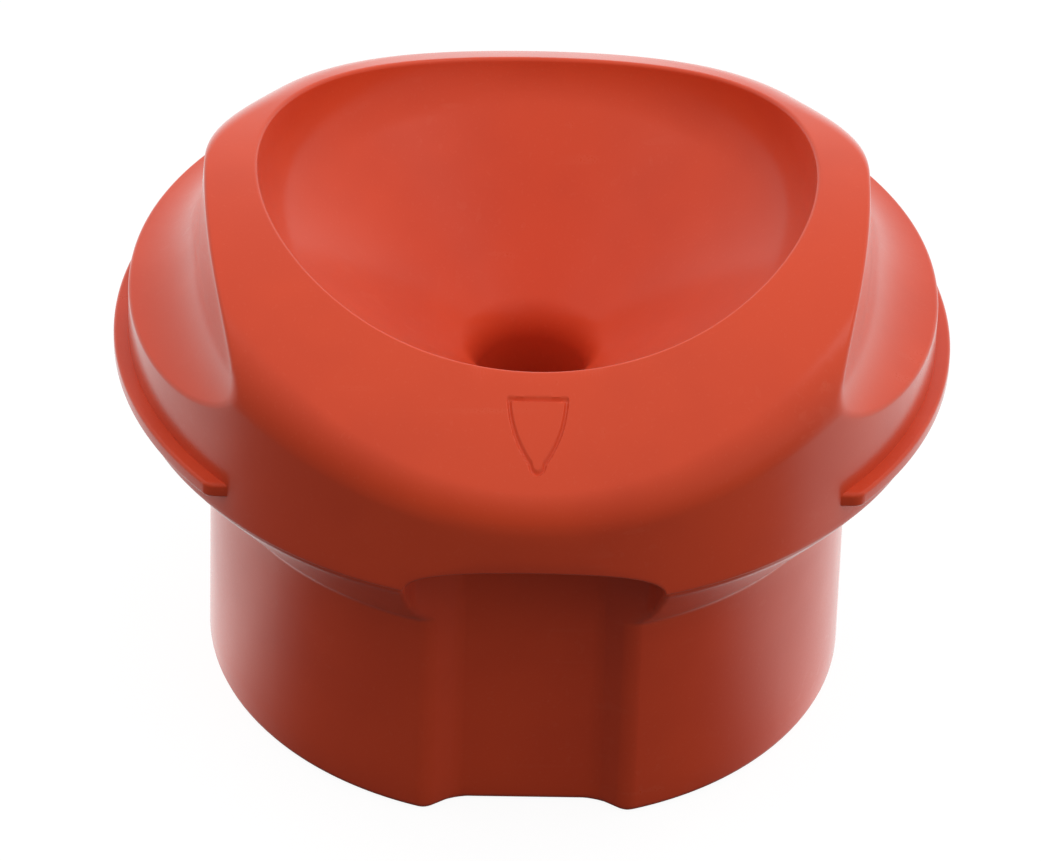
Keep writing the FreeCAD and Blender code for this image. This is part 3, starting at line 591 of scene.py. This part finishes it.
def cup_outline(cup, radius, narrow, inset, edge, count):
    """Half of the cup's outline at one height, from the front round to the back."""
    is_open = narrow > 0.0
    nose = cup.floor_depth if is_open else radius
    begin = math.atan2(-(nose - inset) - CUP_STAR[1], -CUP_STAR[0])
    corner = np.array([math.sin(FRONT_LIMIT), -math.cos(FRONT_LIMIT)]) * (radius - inset)
    end = math.atan2(corner[1] - CUP_STAR[1], corner[0] - CUP_STAR[0])

    def in_outline(across, along):
        """Tell which places lie in the outline."""
        gap = np.hypot(across, along) - radius
        if is_open:
            gap = round_overlap(gap, channel_distance(cup, across, along, narrow), edge)
        return gap < -inset

    line = ray_ends(CUP_STAR, np.linspace(begin, end, CUP_RAYS), CUP_RAY_REACH, in_outline)
    front = spread(line, 1.0 / FRONT_STEP, count)
    front[0, 0] = 0.0
    back_turn = np.linspace(FRONT_LIMIT, math.pi, count // 2 + 1)[1:]
    back = np.stack([np.sin(back_turn), -np.cos(back_turn)], axis=1) * (radius - inset)
    return np.concatenate([front, back])


def whole(half):
    """A ring from its right half, which runs from the front to the back."""
    return np.concatenate([half, half[-2:0:-1] * [-1.0, 1.0]])


def cup_grid(settings):
    """Points of the lower moulding: rings from the outlet up the outside and down the inside."""
    cup = settings.cup
    count = settings.columns // 4
    seat = settings.shell.wall_bottom
    rim = seat - cup.shoulder_rim
    top = cup.spigot_top
    corners = [(cup.radius, cup.edge_round), (cup.radius, cup.height), (cup.shoulder_radius, rim),
               (cup.shoulder_radius, seat), (cup.spigot_radius, seat)]
    sides = rounded(corners, [cup.edge_round, cup.rim_round, SEAT_EDGE], steps=SIDE_STEPS)
    rings = []

    def add(radius, height, narrow=1.0, inset=0.0, edge=None):
        """Add one ring of the outline at a height."""
        soft = cup.edge_blend if edge is None else edge
        outline = whole(cup_outline(cup, radius, narrow, inset, soft, count))
        rings.append(np.column_stack([outline, np.full(len(outline), height)]))

    for turn in np.linspace(0.0, math.pi / 2.0, LOWER_EDGE_ROWS):
        inset = cup.edge_round * (1.0 - math.cos(turn))
        add(cup.radius, cup.edge_round * (1.0 - math.sin(turn)), inset=inset)
    rings.reverse()
    for radius, height in with_steps(sides, SIDE_ROW)[1:]:
        above = smooth_step((height - cup.height) / BLEND_CLIMB)
        add(radius, height, edge=cup.edge_blend + (cup.rim_blend - cup.edge_blend) * above)
    for turn in np.linspace(0.0, math.pi / 2.0, MOUTH_ROWS + 1)[1:-1]:
        height = cup.springing + cup.rise * math.sin(turn)
        if height > seat:
            add(cup.spigot_radius, height, narrow=math.cos(turn), edge=MOUTH_EDGE)
    roof = cup.springing + cup.rise
    for radius, height in ((cup.spigot_radius, roof), (cup.spigot_radius, top - SPIGOT_EDGE),
                           (cup.spigot_radius - SPIGOT_EDGE, top), (cup.spigot_radius - cup.wall, top)):
        add(radius, height, narrow=0.0)
    inside = [(cup.spigot_radius, top), (cup.spigot_radius, rim + INSIDE_RISE),
              (cup.radius, cup.height + INSIDE_RISE), (cup.radius, cup.wall)]
    for radius, height in inside:
        add(radius, height, inset=cup.wall, edge=INSIDE_EDGE)
    bottom = rings[0]
    turn = np.arctan2(bottom[:, 0], -bottom[:, 1])
    outer = cup.collar_radius + cup.wall
    edge = COLLAR_EDGE
    collar = [(outer, cup.wall), (outer, cup.collar_top - edge), (outer - edge, cup.collar_top),
              (cup.collar_radius + edge, cup.collar_top), (cup.collar_radius, cup.collar_top - edge),
              (cup.collar_radius, edge), (cup.collar_radius + COLLAR_CORNER, COLLAR_CORNER),
              (cup.collar_radius + edge, 0.0)]
    for radius, height in collar:
        rings.append(np.column_stack([radius * np.sin(turn), -radius * np.cos(turn),
                                      np.full(len(turn), height)]))
    return np.array(rings)


class LID_OT_plug_cup(bpy.types.Operator):
    """Build the lower moulding: plug, shoulder, pouring channel and collar."""
    bl_idname = "lid.plug_cup"
    bl_label = "Plug cup"

    def execute(self, context):
        settings = context.scene.lid
        cup = skin("plug_cup_moulding", cup_grid(settings))
        dress(cup, red_plastic(settings.colours), "lid", "plug_cup")
        return {"FINISHED"}


# ---------------------------------------------------------------- seal, cage and float

RING_POINTS = 128
CORNER_POINTS = 4
BEAD_POINTS = 12
SEAL_EDGE = 0.25 * MM
SEAL_END_ROOM = 0.4 * MM
BEAD_SPACING = 0.6 * MM
CAGE_WALL = 1.2 * MM
CAGE_EDGE = 0.2 * MM
SPOKES = 3
SPOKE_WIDTH = 1.6 * MM
SPOKE_THICKNESS = 1.4 * MM
SPOKE_EDGE = 0.3 * MM
HUB_RADIUS = 0.62 * MM
HUB_SEGMENTS = 32
HUB_RINGS = 16
BALL_STEPS = 96
WELD_HEIGHT = 0.05 * MM
WELD_HALF_WIDTH = 0.16 * MM


def join_into(piece, others):
    """Add the other objects' meshes to the piece."""
    with bpy.context.temp_override(active_object=piece, selected_editable_objects=[piece, *others]):
        bpy.ops.object.join()


def dress(piece, material, body, node):
    """Give a finished piece its material and its body, and hide the CAD node that it stands for."""
    piece.data.materials.clear()
    piece.data.materials.append(material)
    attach(piece, body)
    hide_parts(node)


class Tree:
    """A geometry node tree being made, with named inputs."""

    def __init__(self, name):
        self.tree = bpy.data.node_groups.new(name, "GeometryNodeTree")
        self.inlet = self.tree.nodes.new("NodeGroupInput")
        self.outlet = self.tree.nodes.new("NodeGroupOutput")
        self.tree.interface.new_socket("Geometry", in_out="OUTPUT", socket_type="NodeSocketGeometry")
        self.named = {}

    def size(self, name, kind="NodeSocketFloat"):
        """A new input of the tree, as the socket that carries it."""
        item = self.tree.interface.new_socket(name, in_out="INPUT", socket_type=kind)
        self.named[name] = item.identifier
        return next(s for s in self.inlet.outputs if s.identifier == item.identifier)

    def add(self, kind, settings=None, **links):
        """One node: its settings first, then the values or links of its sockets."""
        node = self.tree.nodes.new(kind)
        for key, value in (settings or {}).items():
            setattr(node, key, value)
        for key, value in links.items():
            name = key.replace("_", " ")
            socket = next(s for s in node.inputs if s.name.lower() == name.lower() and s.enabled)
            if isinstance(value, bpy.types.NodeSocket):
                self.tree.links.new(value, socket)
            else:
                socket.default_value = value
        return node

    def build(self, name, geometry, material, sizes):
        """Finish the tree, run it once and return its result as a plain mesh object."""
        real = self.add("GeometryNodeRealizeInstances", Geometry=geometry)
        painted = self.add("GeometryNodeSetMaterial", Geometry=real.outputs[0], Material=material)
        self.tree.links.new(painted.outputs[0], self.outlet.inputs[0])
        carrier = bpy.data.objects.new(name + "_tree", bpy.data.meshes.new(name + "_tree"))
        bpy.context.scene.collection.objects.link(carrier)
        modifier = carrier.modifiers.new("Shape", "NODES")
        modifier.node_group = self.tree
        for key, value in sizes.items():
            modifier[self.named[key]] = value
        shown = carrier.evaluated_get(bpy.context.evaluated_depsgraph_get())
        mesh = bpy.data.meshes.new_from_object(shown)
        mesh.name = name
        bpy.data.objects.remove(carrier)
        return finish_mesh(name, mesh)


def turned_band(tree, middle, height, width, thickness, edge):
    """Nodes for a ring of rounded rectangular section, standing on the given height."""
    path = tree.add("GeometryNodeCurvePrimitiveCircle", Resolution=RING_POINTS, Radius=middle)
    section = tree.add("GeometryNodeCurvePrimitiveQuadrilateral", Width=width, Height=thickness)
    soft = tree.add("GeometryNodeFilletCurve", {"mode": "POLY"}, Curve=section.outputs[0],
                    Count=CORNER_POINTS, Radius=edge)
    band = tree.add("GeometryNodeCurveToMesh", Curve=path.outputs[0], Profile_Curve=soft.outputs[0])
    lift = tree.add("ShaderNodeCombineXYZ", Z=height)
    return tree.add("GeometryNodeTransform", Geometry=band.outputs[0], Translation=lift.outputs[0])


class LID_OT_throat_seal(bpy.types.Operator):
    """Build the silicone seal between throat tube and collar."""
    bl_idname = "lid.throat_seal"
    bl_label = "Throat seal"

    def execute(self, context):
        cup = context.scene.lid.cup
        low, high = SEAL_BOX
        inner = context.scene.lid.shell.throat_radius + context.scene.lid.shell.throat_wall
        tree = Tree("throat_seal_rings")
        middle = tree.size("Middle radius")
        width = tree.size("Band width")
        height = tree.size("Band height")
        level = tree.size("Level")
        bead = tree.size("Bead radius")
        spacing = tree.size("Bead spacing")
        band = turned_band(tree, middle, level, width, height, SEAL_EDGE)
        path = tree.add("GeometryNodeCurvePrimitiveCircle", Resolution=RING_POINTS, Radius=middle)
        round_bead = tree.add("GeometryNodeCurvePrimitiveCircle", Resolution=BEAD_POINTS, Radius=bead)
        ring = tree.add("GeometryNodeCurveToMesh", Curve=path.outputs[0],
                        Profile_Curve=round_bead.outputs[0])
        stack = tree.add("GeometryNodeMeshLine", Count=2)
        lower = tree.add("ShaderNodeCombineXYZ", Z=level)
        tree.tree.links.new(lower.outputs[0], stack.inputs["Start Location"])
        step = tree.add("ShaderNodeCombineXYZ", Z=spacing)
        tree.tree.links.new(step.outputs[0], stack.inputs["Offset"])
        beads = tree.add("GeometryNodeInstanceOnPoints", Points=stack.outputs[0], Instance=ring.outputs[0])
        both = tree.add("GeometryNodeJoinGeometry")
        tree.tree.links.new(band.outputs[0], both.inputs[0])
        tree.tree.links.new(beads.outputs[0], both.inputs[0])
        band_width = cup.collar_radius - inner
        sizes = {"Middle radius": (cup.collar_radius + inner) / 2.0, "Band width": band_width,
                 "Band height": high.z - low.z - SEAL_END_ROOM, "Level": (low.z + high.z) / 2.0,
                 "Bead radius": band_width / 2.0, "Bead spacing": BEAD_SPACING}
        material = silicone(context.scene.lid.colours)
        piece = tree.build("throat_seal_ring", both.outputs[0], material, sizes)
        dress(piece, material, "lid", "throat_seal")
        return {"FINISHED"}


class LID_OT_valve_cage(bpy.types.Operator):
    """Build the cage in the collar: a ring with three spokes under the float."""
    bl_idname = "lid.valve_cage"
    bl_label = "Valve cage"

    def execute(self, context):
        cup = context.scene.lid.cup
        low, high = CAGE_BOX
        tree = Tree("valve_cage_star")
        middle = tree.size("Middle radius")
        wall = tree.size("Wall")
        height = tree.size("Height")
        level = tree.size("Level")
        spoke_level = tree.size("Spoke level")
        spoke_width = tree.size("Spoke width")
        spoke_height = tree.size("Spoke height")
        spokes = tree.size("Spokes", "NodeSocketInt")
        ring = turned_band(tree, middle, level, wall, height, CAGE_EDGE)
        hub_end = tree.add("ShaderNodeCombineXYZ", X=middle)
        rod = tree.add("GeometryNodeCurvePrimitiveLine", End=hub_end.outputs[0])
        section = tree.add("GeometryNodeCurvePrimitiveQuadrilateral", Width=spoke_height,
                           Height=spoke_width)
        soft = tree.add("GeometryNodeFilletCurve", {"mode": "POLY"}, Curve=section.outputs[0],
                        Count=CORNER_POINTS, Radius=SPOKE_EDGE)
        bar = tree.add("GeometryNodeCurveToMesh", Curve=rod.outputs[0], Profile_Curve=soft.outputs[0],
                       Fill_Caps=True)
        full_turn = tree.add("ShaderNodeMath", {"operation": "DIVIDE"})
        full_turn.inputs[0].default_value = 2.0 * math.pi
        tree.tree.links.new(spokes, full_turn.inputs[1])
        number = tree.add("GeometryNodeInputIndex")
        turn = tree.add("ShaderNodeMath", {"operation": "MULTIPLY"})
        tree.tree.links.new(full_turn.outputs[0], turn.inputs[0])
        tree.tree.links.new(number.outputs[0], turn.inputs[1])
        facing = tree.add("ShaderNodeCombineXYZ", Z=turn.outputs[0])
        spot = tree.add("GeometryNodeMeshLine", Count=spokes)
        lift = tree.add("ShaderNodeCombineXYZ", Z=spoke_level)
        tree.tree.links.new(lift.outputs[0], spot.inputs["Start Location"])
        spot.inputs["Offset"].default_value = (0.0, 0.0, 0.0)
        star = tree.add("GeometryNodeInstanceOnPoints", Points=spot.outputs[0], Instance=bar.outputs[0],
                        Rotation=facing.outputs[0])
        hub = tree.add("GeometryNodeMeshUVSphere", Segments=HUB_SEGMENTS, Rings=HUB_RINGS,
                       Radius=HUB_RADIUS)
        hub_place = tree.add("GeometryNodeTransform", Geometry=hub.outputs[0], Translation=lift.outputs[0])
        whole_cage = tree.add("GeometryNodeJoinGeometry")
        for part in (ring, star, hub_place):
            tree.tree.links.new(part.outputs[0], whole_cage.inputs[0])
        sizes = {"Middle radius": cup.collar_radius - CAGE_WALL / 2.0, "Wall": CAGE_WALL,
                 "Height": high.z - low.z, "Level": (low.z + high.z) / 2.0,
                 "Spoke level": low.z + SPOKE_THICKNESS / 2.0, "Spoke width": SPOKE_WIDTH,
                 "Spoke height": SPOKE_THICKNESS, "Spokes": SPOKES}
        material = natural_plastic("cage_plastic", context.scene.lid.colours.cage, 0.5)
        piece = tree.build("valve_cage_moulding", whole_cage.outputs[0], material, sizes)
        dress(piece, material, "lid", "valve_cage")
        return {"FINISHED"}


class LID_OT_float_ball(bpy.types.Operator):
    """Build the float: a ball with the fine bead of its welded halves."""
    bl_idname = "lid.float_ball"
    bl_label = "Float ball"

    def execute(self, context):
        low, high = BALL_BOX
        radius = (high.z - low.z) / 2.0
        centre = (low + high) / 2.0
        turn = np.linspace(0.0, 2.0 * math.pi, BALL_STEPS + 1)[:-1]
        rows = []
        for step in range(BALL_STEPS + 1):
            lift = math.pi * (step / BALL_STEPS - 0.5)
            bead = WELD_HEIGHT * math.exp(-(lift * radius / WELD_HALF_WIDTH) ** 2)
            reach = radius - WELD_HEIGHT + bead
            ring = np.stack([np.cos(turn) * math.cos(lift), np.sin(turn) * math.cos(lift),
                             np.full(len(turn), math.sin(lift))], axis=1) * reach
            rows.append(ring + np.array(centre))
        piece = skin("float_ball_shell", np.array(rows), closed=False)
        material = natural_plastic("ball_plastic", context.scene.lid.colours.ball, 0.3)
        dress(piece, material, "float", "float_ball")
        return {"FINISHED"}


# ---------------------------------------------------------------- materials

RELIEF_DEPTH = 0.02 * MM
PLASTIC_IOR = 1.49
SILICONE_IOR = 1.41
# How far light wanders under a milky surface, for its red, green and blue.
SILICONE_DEPTH = (2.0 * MM, 1.8 * MM, 1.5 * MM)
PLASTIC_DEPTH = (1.5 * MM, 1.4 * MM, 1.2 * MM)
# Where the floor's glow begins and is full, from front to back.
GLOW_BEGIN = -21.0 * MM
GLOW_FULL = 1.0 * MM
# How much sooner the glow comes at both sides, and at the right.
GLOW_BESIDE = 0.25
GLOW_AT_RIGHT = 0.12
GLOW_LEAST = 0.03
GLOW_GAIN = 0.9
GLOW_SEEN = 0.93
# Share of the floor's colour that takes the lid's light and shadow.
FLOOR_SHADE = 0.1
FLOOR_SHADE_SEEN = 0.12


class Flow:
    """A number that varies over a surface; arithmetic on it adds Math nodes."""

    def __init__(self, recipe, socket):
        self.recipe = recipe
        self.socket = socket

    def _join(self, operation, first, second):
        return self.recipe.flow("ShaderNodeMath", {"operation": operation}, {0: first, 1: second})

    def __add__(self, other):
        return self._join("ADD", self, other)

    __radd__ = __add__

    def __sub__(self, other):
        return self._join("SUBTRACT", self, other)

    def __rsub__(self, other):
        return self._join("SUBTRACT", other, self)

    def __mul__(self, other):
        return self._join("MULTIPLY", self, other)

    __rmul__ = __mul__

    def __pow__(self, other):
        return self._join("POWER", self, other)

    def between(self, low, high):
        """0 below low, 1 above high, and an even curve between."""
        return self.recipe.flow("ShaderNodeMapRange", {"interpolation_type": "SMOOTHSTEP"},
                                {"Value": self, "From Min": low, "From Max": high})


class Recipe:
    """A material being made round one Principled shader."""

    def __init__(self, name):
        self.material = bpy.data.materials.new(name)
        self.material.use_nodes = True
        self.tree = self.material.node_tree
        self.shader = self.tree.nodes["Principled BSDF"]
        self.place = self.node("ShaderNodeTexCoord").outputs["Object"]

    def node(self, kind, settings=None, inputs=None):
        """One node: its settings first, then the values or links of its sockets."""
        made = self.tree.nodes.new(kind)
        for key, value in (settings or {}).items():
            setattr(made, key, value)
        for key, value in (inputs or {}).items():
            self.feed(made.inputs[key], value)
        return made

    def feed(self, socket, value):
        """Link or set one socket."""
        if isinstance(value, Flow):
            value = value.socket
        if isinstance(value, bpy.types.NodeSocket):
            self.tree.links.new(value, socket)
        else:
            socket.default_value = value

    def flow(self, kind, settings=None, inputs=None, output=0):
        """One node's output as a number to reckon with."""
        return Flow(self, self.node(kind, settings, inputs).outputs[output])

    def noise(self, per_metre, detail, stretch=None, turn=(0.0, 0.0, 0.0)):
        """Even noise round 0.5, at so many clouds a metre."""
        place = self.place
        if stretch is not None:
            place = self.node("ShaderNodeMapping", None,
                              {"Vector": place, "Scale": stretch, "Rotation": turn}).outputs[0]
        return self.flow("ShaderNodeTexNoise", {"noise_dimensions": "3D"},
                         {"Vector": place, "Scale": per_metre, "Detail": detail, "Roughness": 0.55})

    def blend(self, amount, first, second):
        """A colour between two, by an amount that varies."""
        mixed = self.node("ShaderNodeMix", {"data_type": "RGBA"})
        for place, value in ((0, amount), (6, first), (7, second)):
            if not isinstance(value, (Flow, bpy.types.NodeSocket)) and place > 0:
                value = (*value[:3], 1.0)
            self.feed(mixed.inputs[place], value)
        return mixed.outputs[2]

    def bump(self, height, strength):
        """The surface's small relief."""
        return self.node("ShaderNodeBump", None, {"Height": height, "Strength": strength,
                                                  "Distance": RELIEF_DEPTH}).outputs[0]

    def finish(self, **sockets):
        """Feed the shader and hand over the material."""
        for key, value in sockets.items():
            self.feed(self.shader.inputs[key.replace("_", " ")], value)
        return self.material


def red_plastic(colours):
    """Satin moulded plastic: soft clouds of colour, fine spark-eroded grain, faint scratches."""
    known = bpy.data.materials.get("satin_red_plastic")
    if known:
        return known
    recipe = Recipe("satin_red_plastic")
    clouds = recipe.noise(per_metre=55.0, detail=3.0).between(0.36, 0.66)
    specks = recipe.noise(per_metre=2600.0, detail=1.0).between(0.62, 0.74)
    grain = recipe.noise(per_metre=5200.0, detail=2.0)
    orange_peel = recipe.noise(per_metre=420.0, detail=2.0)
    long_scratches = recipe.noise(per_metre=900.0, detail=0.0, stretch=(0.03, 1.0, 1.0),
                                  turn=(0.3, 0.4, 0.7)).between(0.70, 0.76)
    cross_scratches = recipe.noise(per_metre=1100.0, detail=0.0, stretch=(1.0, 0.04, 1.0),
                                   turn=(0.9, 0.2, 0.5)).between(0.72, 0.78)
    patchy = recipe.noise(per_metre=90.0, detail=1.0).between(0.5, 0.7)
    scratches = (long_scratches + cross_scratches) * patchy
    base = recipe.blend(clouds * 0.6, colours.red, colours.deep_red)
    base = recipe.blend(specks * 0.05, base, colours.scuff)
    base = recipe.blend(scratches * 0.05, base, colours.scuff)
    roughness = colours.gloss + (clouds - 0.5) * 0.05 + (grain - 0.5) * 0.12 - scratches * 0.03
    relief = grain * 0.6 + orange_peel * 1.2 - scratches * 0.25
    facing = recipe.flow("ShaderNodeLayerWeight", None, {"Blend": 0.5}, output="Facing")
    glance = facing ** 2.6
    return recipe.finish(Base_Color=base, Roughness=roughness, Normal=recipe.bump(relief, strength=0.35),
                         Specular_IOR_Level=0.18, IOR=PLASTIC_IOR, Coat_Weight=glance,
                         Coat_Roughness=0.2, Coat_IOR=2.2)


def silicone(colours):
    """Milky silicone, a little cloudy and finely matt."""
    recipe = Recipe("seal_silicone")
    clouds = recipe.noise(per_metre=260.0, detail=3.0)
    grain = recipe.noise(per_metre=5200.0, detail=1.0)
    darker = tuple(channel * 0.86 for channel in colours.silicone)
    base = recipe.blend(clouds.between(0.35, 0.65), colours.silicone, darker)
    return recipe.finish(Base_Color=base, Roughness=0.5 + (grain - 0.5) * 0.2,
                         Normal=recipe.bump(grain, strength=0.3), Subsurface_Weight=0.2,
                         Subsurface_Radius=SILICONE_DEPTH, IOR=SILICONE_IOR)


def natural_plastic(name, tint, rough):
    """Unpigmented plastic: waxy, with faint flow clouds and grain."""
    recipe = Recipe(name)
    clouds = recipe.noise(per_metre=180.0, detail=3.0)
    grain = recipe.noise(per_metre=4200.0, detail=2.0)
    darker = tuple(channel * 0.88 for channel in tint)
    base = recipe.blend(clouds.between(0.35, 0.7), tint, darker)
    return recipe.finish(Base_Color=base, Roughness=rough + (grain - 0.5) * 0.14,
                         Normal=recipe.bump(grain + clouds, strength=0.25), Subsurface_Weight=0.1,
                         Subsurface_Radius=PLASTIC_DEPTH, IOR=PLASTIC_IOR)


def studio_floor(colours):
    """Pale glowing paper: what it throws on the lid is bright behind and beside it, and dim in front."""
    recipe = Recipe("studio_floor")
    fibres = recipe.noise(per_metre=700.0, detail=2.0)
    parts = recipe.node("ShaderNodeSeparateXYZ", None, {"Vector": recipe.place})
    beside = recipe.flow("ShaderNodeMath", {"operation": "ABSOLUTE"}, {0: parts.outputs["X"]})
    sideways = beside * GLOW_BESIDE + Flow(recipe, parts.outputs["X"]) * GLOW_AT_RIGHT
    depth = (Flow(recipe, parts.outputs["Y"]) + sideways).between(GLOW_BEGIN, GLOW_FULL)
    shade = [channel * FLOOR_SHADE for channel in colours.floor]
    shade_seen = [channel * FLOOR_SHADE_SEEN for channel in colours.floor]
    recipe.finish(Base_Color=(*shade, 1.0), Roughness=0.9 + fibres * 0.05,
                  Emission_Color=depth * GLOW_GAIN + GLOW_LEAST, Emission_Strength=1.0)
    glow = recipe.node("ShaderNodeEmission", None, {"Color": WHITE, "Strength": GLOW_SEEN})
    paper = recipe.node("ShaderNodeBsdfDiffuse", None, {"Color": (*shade_seen, 1.0)})
    shown = recipe.node("ShaderNodeAddShader", None, {0: glow.outputs[0], 1: paper.outputs[0]})
    path = recipe.node("ShaderNodeLightPath")
    mixed = recipe.node("ShaderNodeMixShader", None, {0: path.outputs["Is Camera Ray"],
                                                      1: recipe.shader.outputs[0], 2: shown.outputs[0]})
    recipe.feed(recipe.tree.nodes["Material Output"].inputs["Surface"], mixed.outputs[0])
    return recipe.material


# ---------------------------------------------------------------- stage

CAMERA_RISE = math.radians(36.574)
CAMERA_TURN = math.radians(1.5)
CAMERA_ROLL = math.radians(1.8)
CAMERA_DISTANCE = 0.8
CAMERA_TARGET = Vector((0.0, 0.0, 0.027))
SENSOR = 36.0
FOCAL_LENGTH = 294.2
SHIFT = (-0.00915, -0.0307)
CLIP_NEAR = 0.05
CLIP_FAR = 10.0
LAMP_TARGET = Vector((0.0, 0.0, 0.03))
LAMP_SIZE = 0.25
FLOOR_REACH = 3.0
FLOOR_HEIGHT = -0.02 * MM
# What each axis of the view direction adds to the sky's level, and if both its ends count alike.
SKY_SHARES = (("X", 0.32, True), ("X", 0.42, False), ("Y", 0.84, False), ("Z", 0.66, False))
# The level where the sky begins to brighten and where it is full, and the strengths there.
SKY_LEVELS = (-0.75, 0.45)
SKY_STRENGTHS = (0.05, 1.05)


def soft_light(name, place, power):
    """A square softbox over the lid, facing it."""
    data = bpy.data.lights.new(name, "AREA")
    data.shape = "SQUARE"
    data.size = LAMP_SIZE
    data.energy = power
    light = bpy.data.objects.new(name, data)
    light.location = place
    light.rotation_mode = "QUATERNION"
    light.rotation_quaternion = (LAMP_TARGET - Vector(place)).to_track_quat("-Z", "Y")
    bpy.context.scene.collection.objects.link(light)


def make_camera(scene):
    """The camera: a long lens in front and above, slightly rolled."""
    ahead = Vector((math.sin(CAMERA_TURN) * math.cos(CAMERA_RISE),
                    math.cos(CAMERA_TURN) * math.cos(CAMERA_RISE), -math.sin(CAMERA_RISE)))
    level = Vector((math.cos(CAMERA_TURN), -math.sin(CAMERA_TURN), 0.0))
    upward = level.cross(ahead)
    right = level * math.cos(CAMERA_ROLL) + upward * math.sin(CAMERA_ROLL)
    up = upward * math.cos(CAMERA_ROLL) - level * math.sin(CAMERA_ROLL)
    turn = Matrix((right, up, -ahead)).transposed()
    data = bpy.data.cameras.new("camera")
    data.sensor_width = SENSOR
    data.lens = FOCAL_LENGTH
    data.shift_x, data.shift_y = SHIFT
    data.clip_start = CLIP_NEAR
    data.clip_end = CLIP_FAR
    camera = bpy.data.objects.new("camera", data)
    camera.matrix_world = Matrix.Translation(CAMERA_TARGET - ahead * CAMERA_DISTANCE) @ turn.to_4x4()
    scene.collection.objects.link(camera)
    scene.camera = camera


def make_world(scene):
    """Pale surroundings: bright above, behind and beside, dim in front, a little brighter at the right."""
    world = bpy.data.worlds.new("studio")
    world.use_nodes = True
    tree = world.node_tree
    way = tree.nodes.new("ShaderNodeTexCoord")
    parts = tree.nodes.new("ShaderNodeSeparateXYZ")
    tree.links.new(way.outputs["Generated"], parts.inputs[0])
    total = None
    for axis, share, mirrored in SKY_SHARES:
        part = parts.outputs[axis]
        if mirrored:
            level = tree.nodes.new("ShaderNodeMath")
            level.operation = "ABSOLUTE"
            tree.links.new(part, level.inputs[0])
            part = level.outputs[0]
        added = tree.nodes.new("ShaderNodeMath")
        added.operation = "MULTIPLY_ADD"
        added.inputs[1].default_value = share
        added.inputs[2].default_value = 0.0
        tree.links.new(part, added.inputs[0])
        if total is not None:
            tree.links.new(total, added.inputs[2])
        total = added.outputs[0]
    ramp = tree.nodes.new("ShaderNodeMapRange")
    ramp.interpolation_type = "SMOOTHSTEP"
    ramp.inputs["From Min"].default_value, ramp.inputs["From Max"].default_value = SKY_LEVELS
    ramp.inputs["To Min"].default_value, ramp.inputs["To Max"].default_value = SKY_STRENGTHS
    tree.links.new(total, ramp.inputs["Value"])
    tree.links.new(ramp.outputs[0], tree.nodes["Background"].inputs["Strength"])
    tree.nodes["Background"].inputs["Color"].default_value = WHITE
    scene.world = world


class LID_OT_stage(bpy.types.Operator):
    """Build the floor, the soft lights, the surroundings and the camera."""
    bl_idname = "lid.stage"
    bl_label = "Stage"

    def execute(self, context):
        scene = context.scene
        mesh = bpy.data.meshes.new("floor")
        ways = ((-1.0, -1.0), (1.0, -1.0), (1.0, 1.0), (-1.0, 1.0))
        corners = [(FLOOR_REACH * across, FLOOR_REACH * along, FLOOR_HEIGHT) for across, along in ways]
        mesh.from_pydata(corners, [], [(0, 1, 2, 3)])
        mesh.materials.append(studio_floor(scene.lid.colours))
        floor = bpy.data.objects.new("floor", mesh)
        scene.collection.objects.link(floor)
        make_world(scene)
        soft_light("left_lamp", place=(-0.35, 0.1, 0.8), power=0.35)
        soft_light("right_lamp", place=(0.35, 0.1, 0.8), power=0.85)
        make_camera(scene)
        scene.view_settings.view_transform = "Standard"
        return {"FINISHED"}


# ---------------------------------------------------------------- panel and running order

class LID_PT_panel(bpy.types.Panel):
    """The lid's operators and sizes in the 3D view's sidebar."""
    bl_label = "Jug lid"
    bl_idname = "LID_PT_panel"
    bl_space_type = "VIEW_3D"
    bl_region_type = "UI"
    bl_category = "Jug lid"

    def draw(self, context):
        column = self.layout.column()
        for operator in OPERATORS:
            column.operator(operator.bl_idname)
        settings = context.scene.lid
        for group in (settings.shell, settings.rib, settings.arrow, settings.cup, settings.colours):
            box = self.layout.box()
            for name in group.__annotations__:
                box.prop(group, name)


OPERATORS = (LID_OT_upper_shell, LID_OT_plug_cup, LID_OT_throat_seal, LID_OT_valve_cage, LID_OT_float_ball,
             LID_OT_stage)
GROUPS = (ShellSizes, RibSizes, ArrowSizes, CupSizes, LidColours, LidSettings)


def register():
    """Add the lid's classes and its settings to Blender."""
    for item in (*GROUPS, *OPERATORS, LID_PT_panel):
        bpy.utils.register_class(item)
    bpy.types.Scene.lid = PointerProperty(type=LidSettings)


def unregister():
    """Take them away again."""
    del bpy.types.Scene.lid
    for item in (LID_PT_panel, *reversed(OPERATORS), *reversed(GROUPS)):
        bpy.utils.unregister_class(item)


def main():
    """Build every piece in order."""
    register()
    bpy.ops.lid.upper_shell()
    bpy.ops.lid.plug_cup()
    bpy.ops.lid.throat_seal()
    bpy.ops.lid.valve_cage()
    bpy.ops.lid.float_ball()
    bpy.ops.lid.stage()


if __name__ == "__main__":
    main()
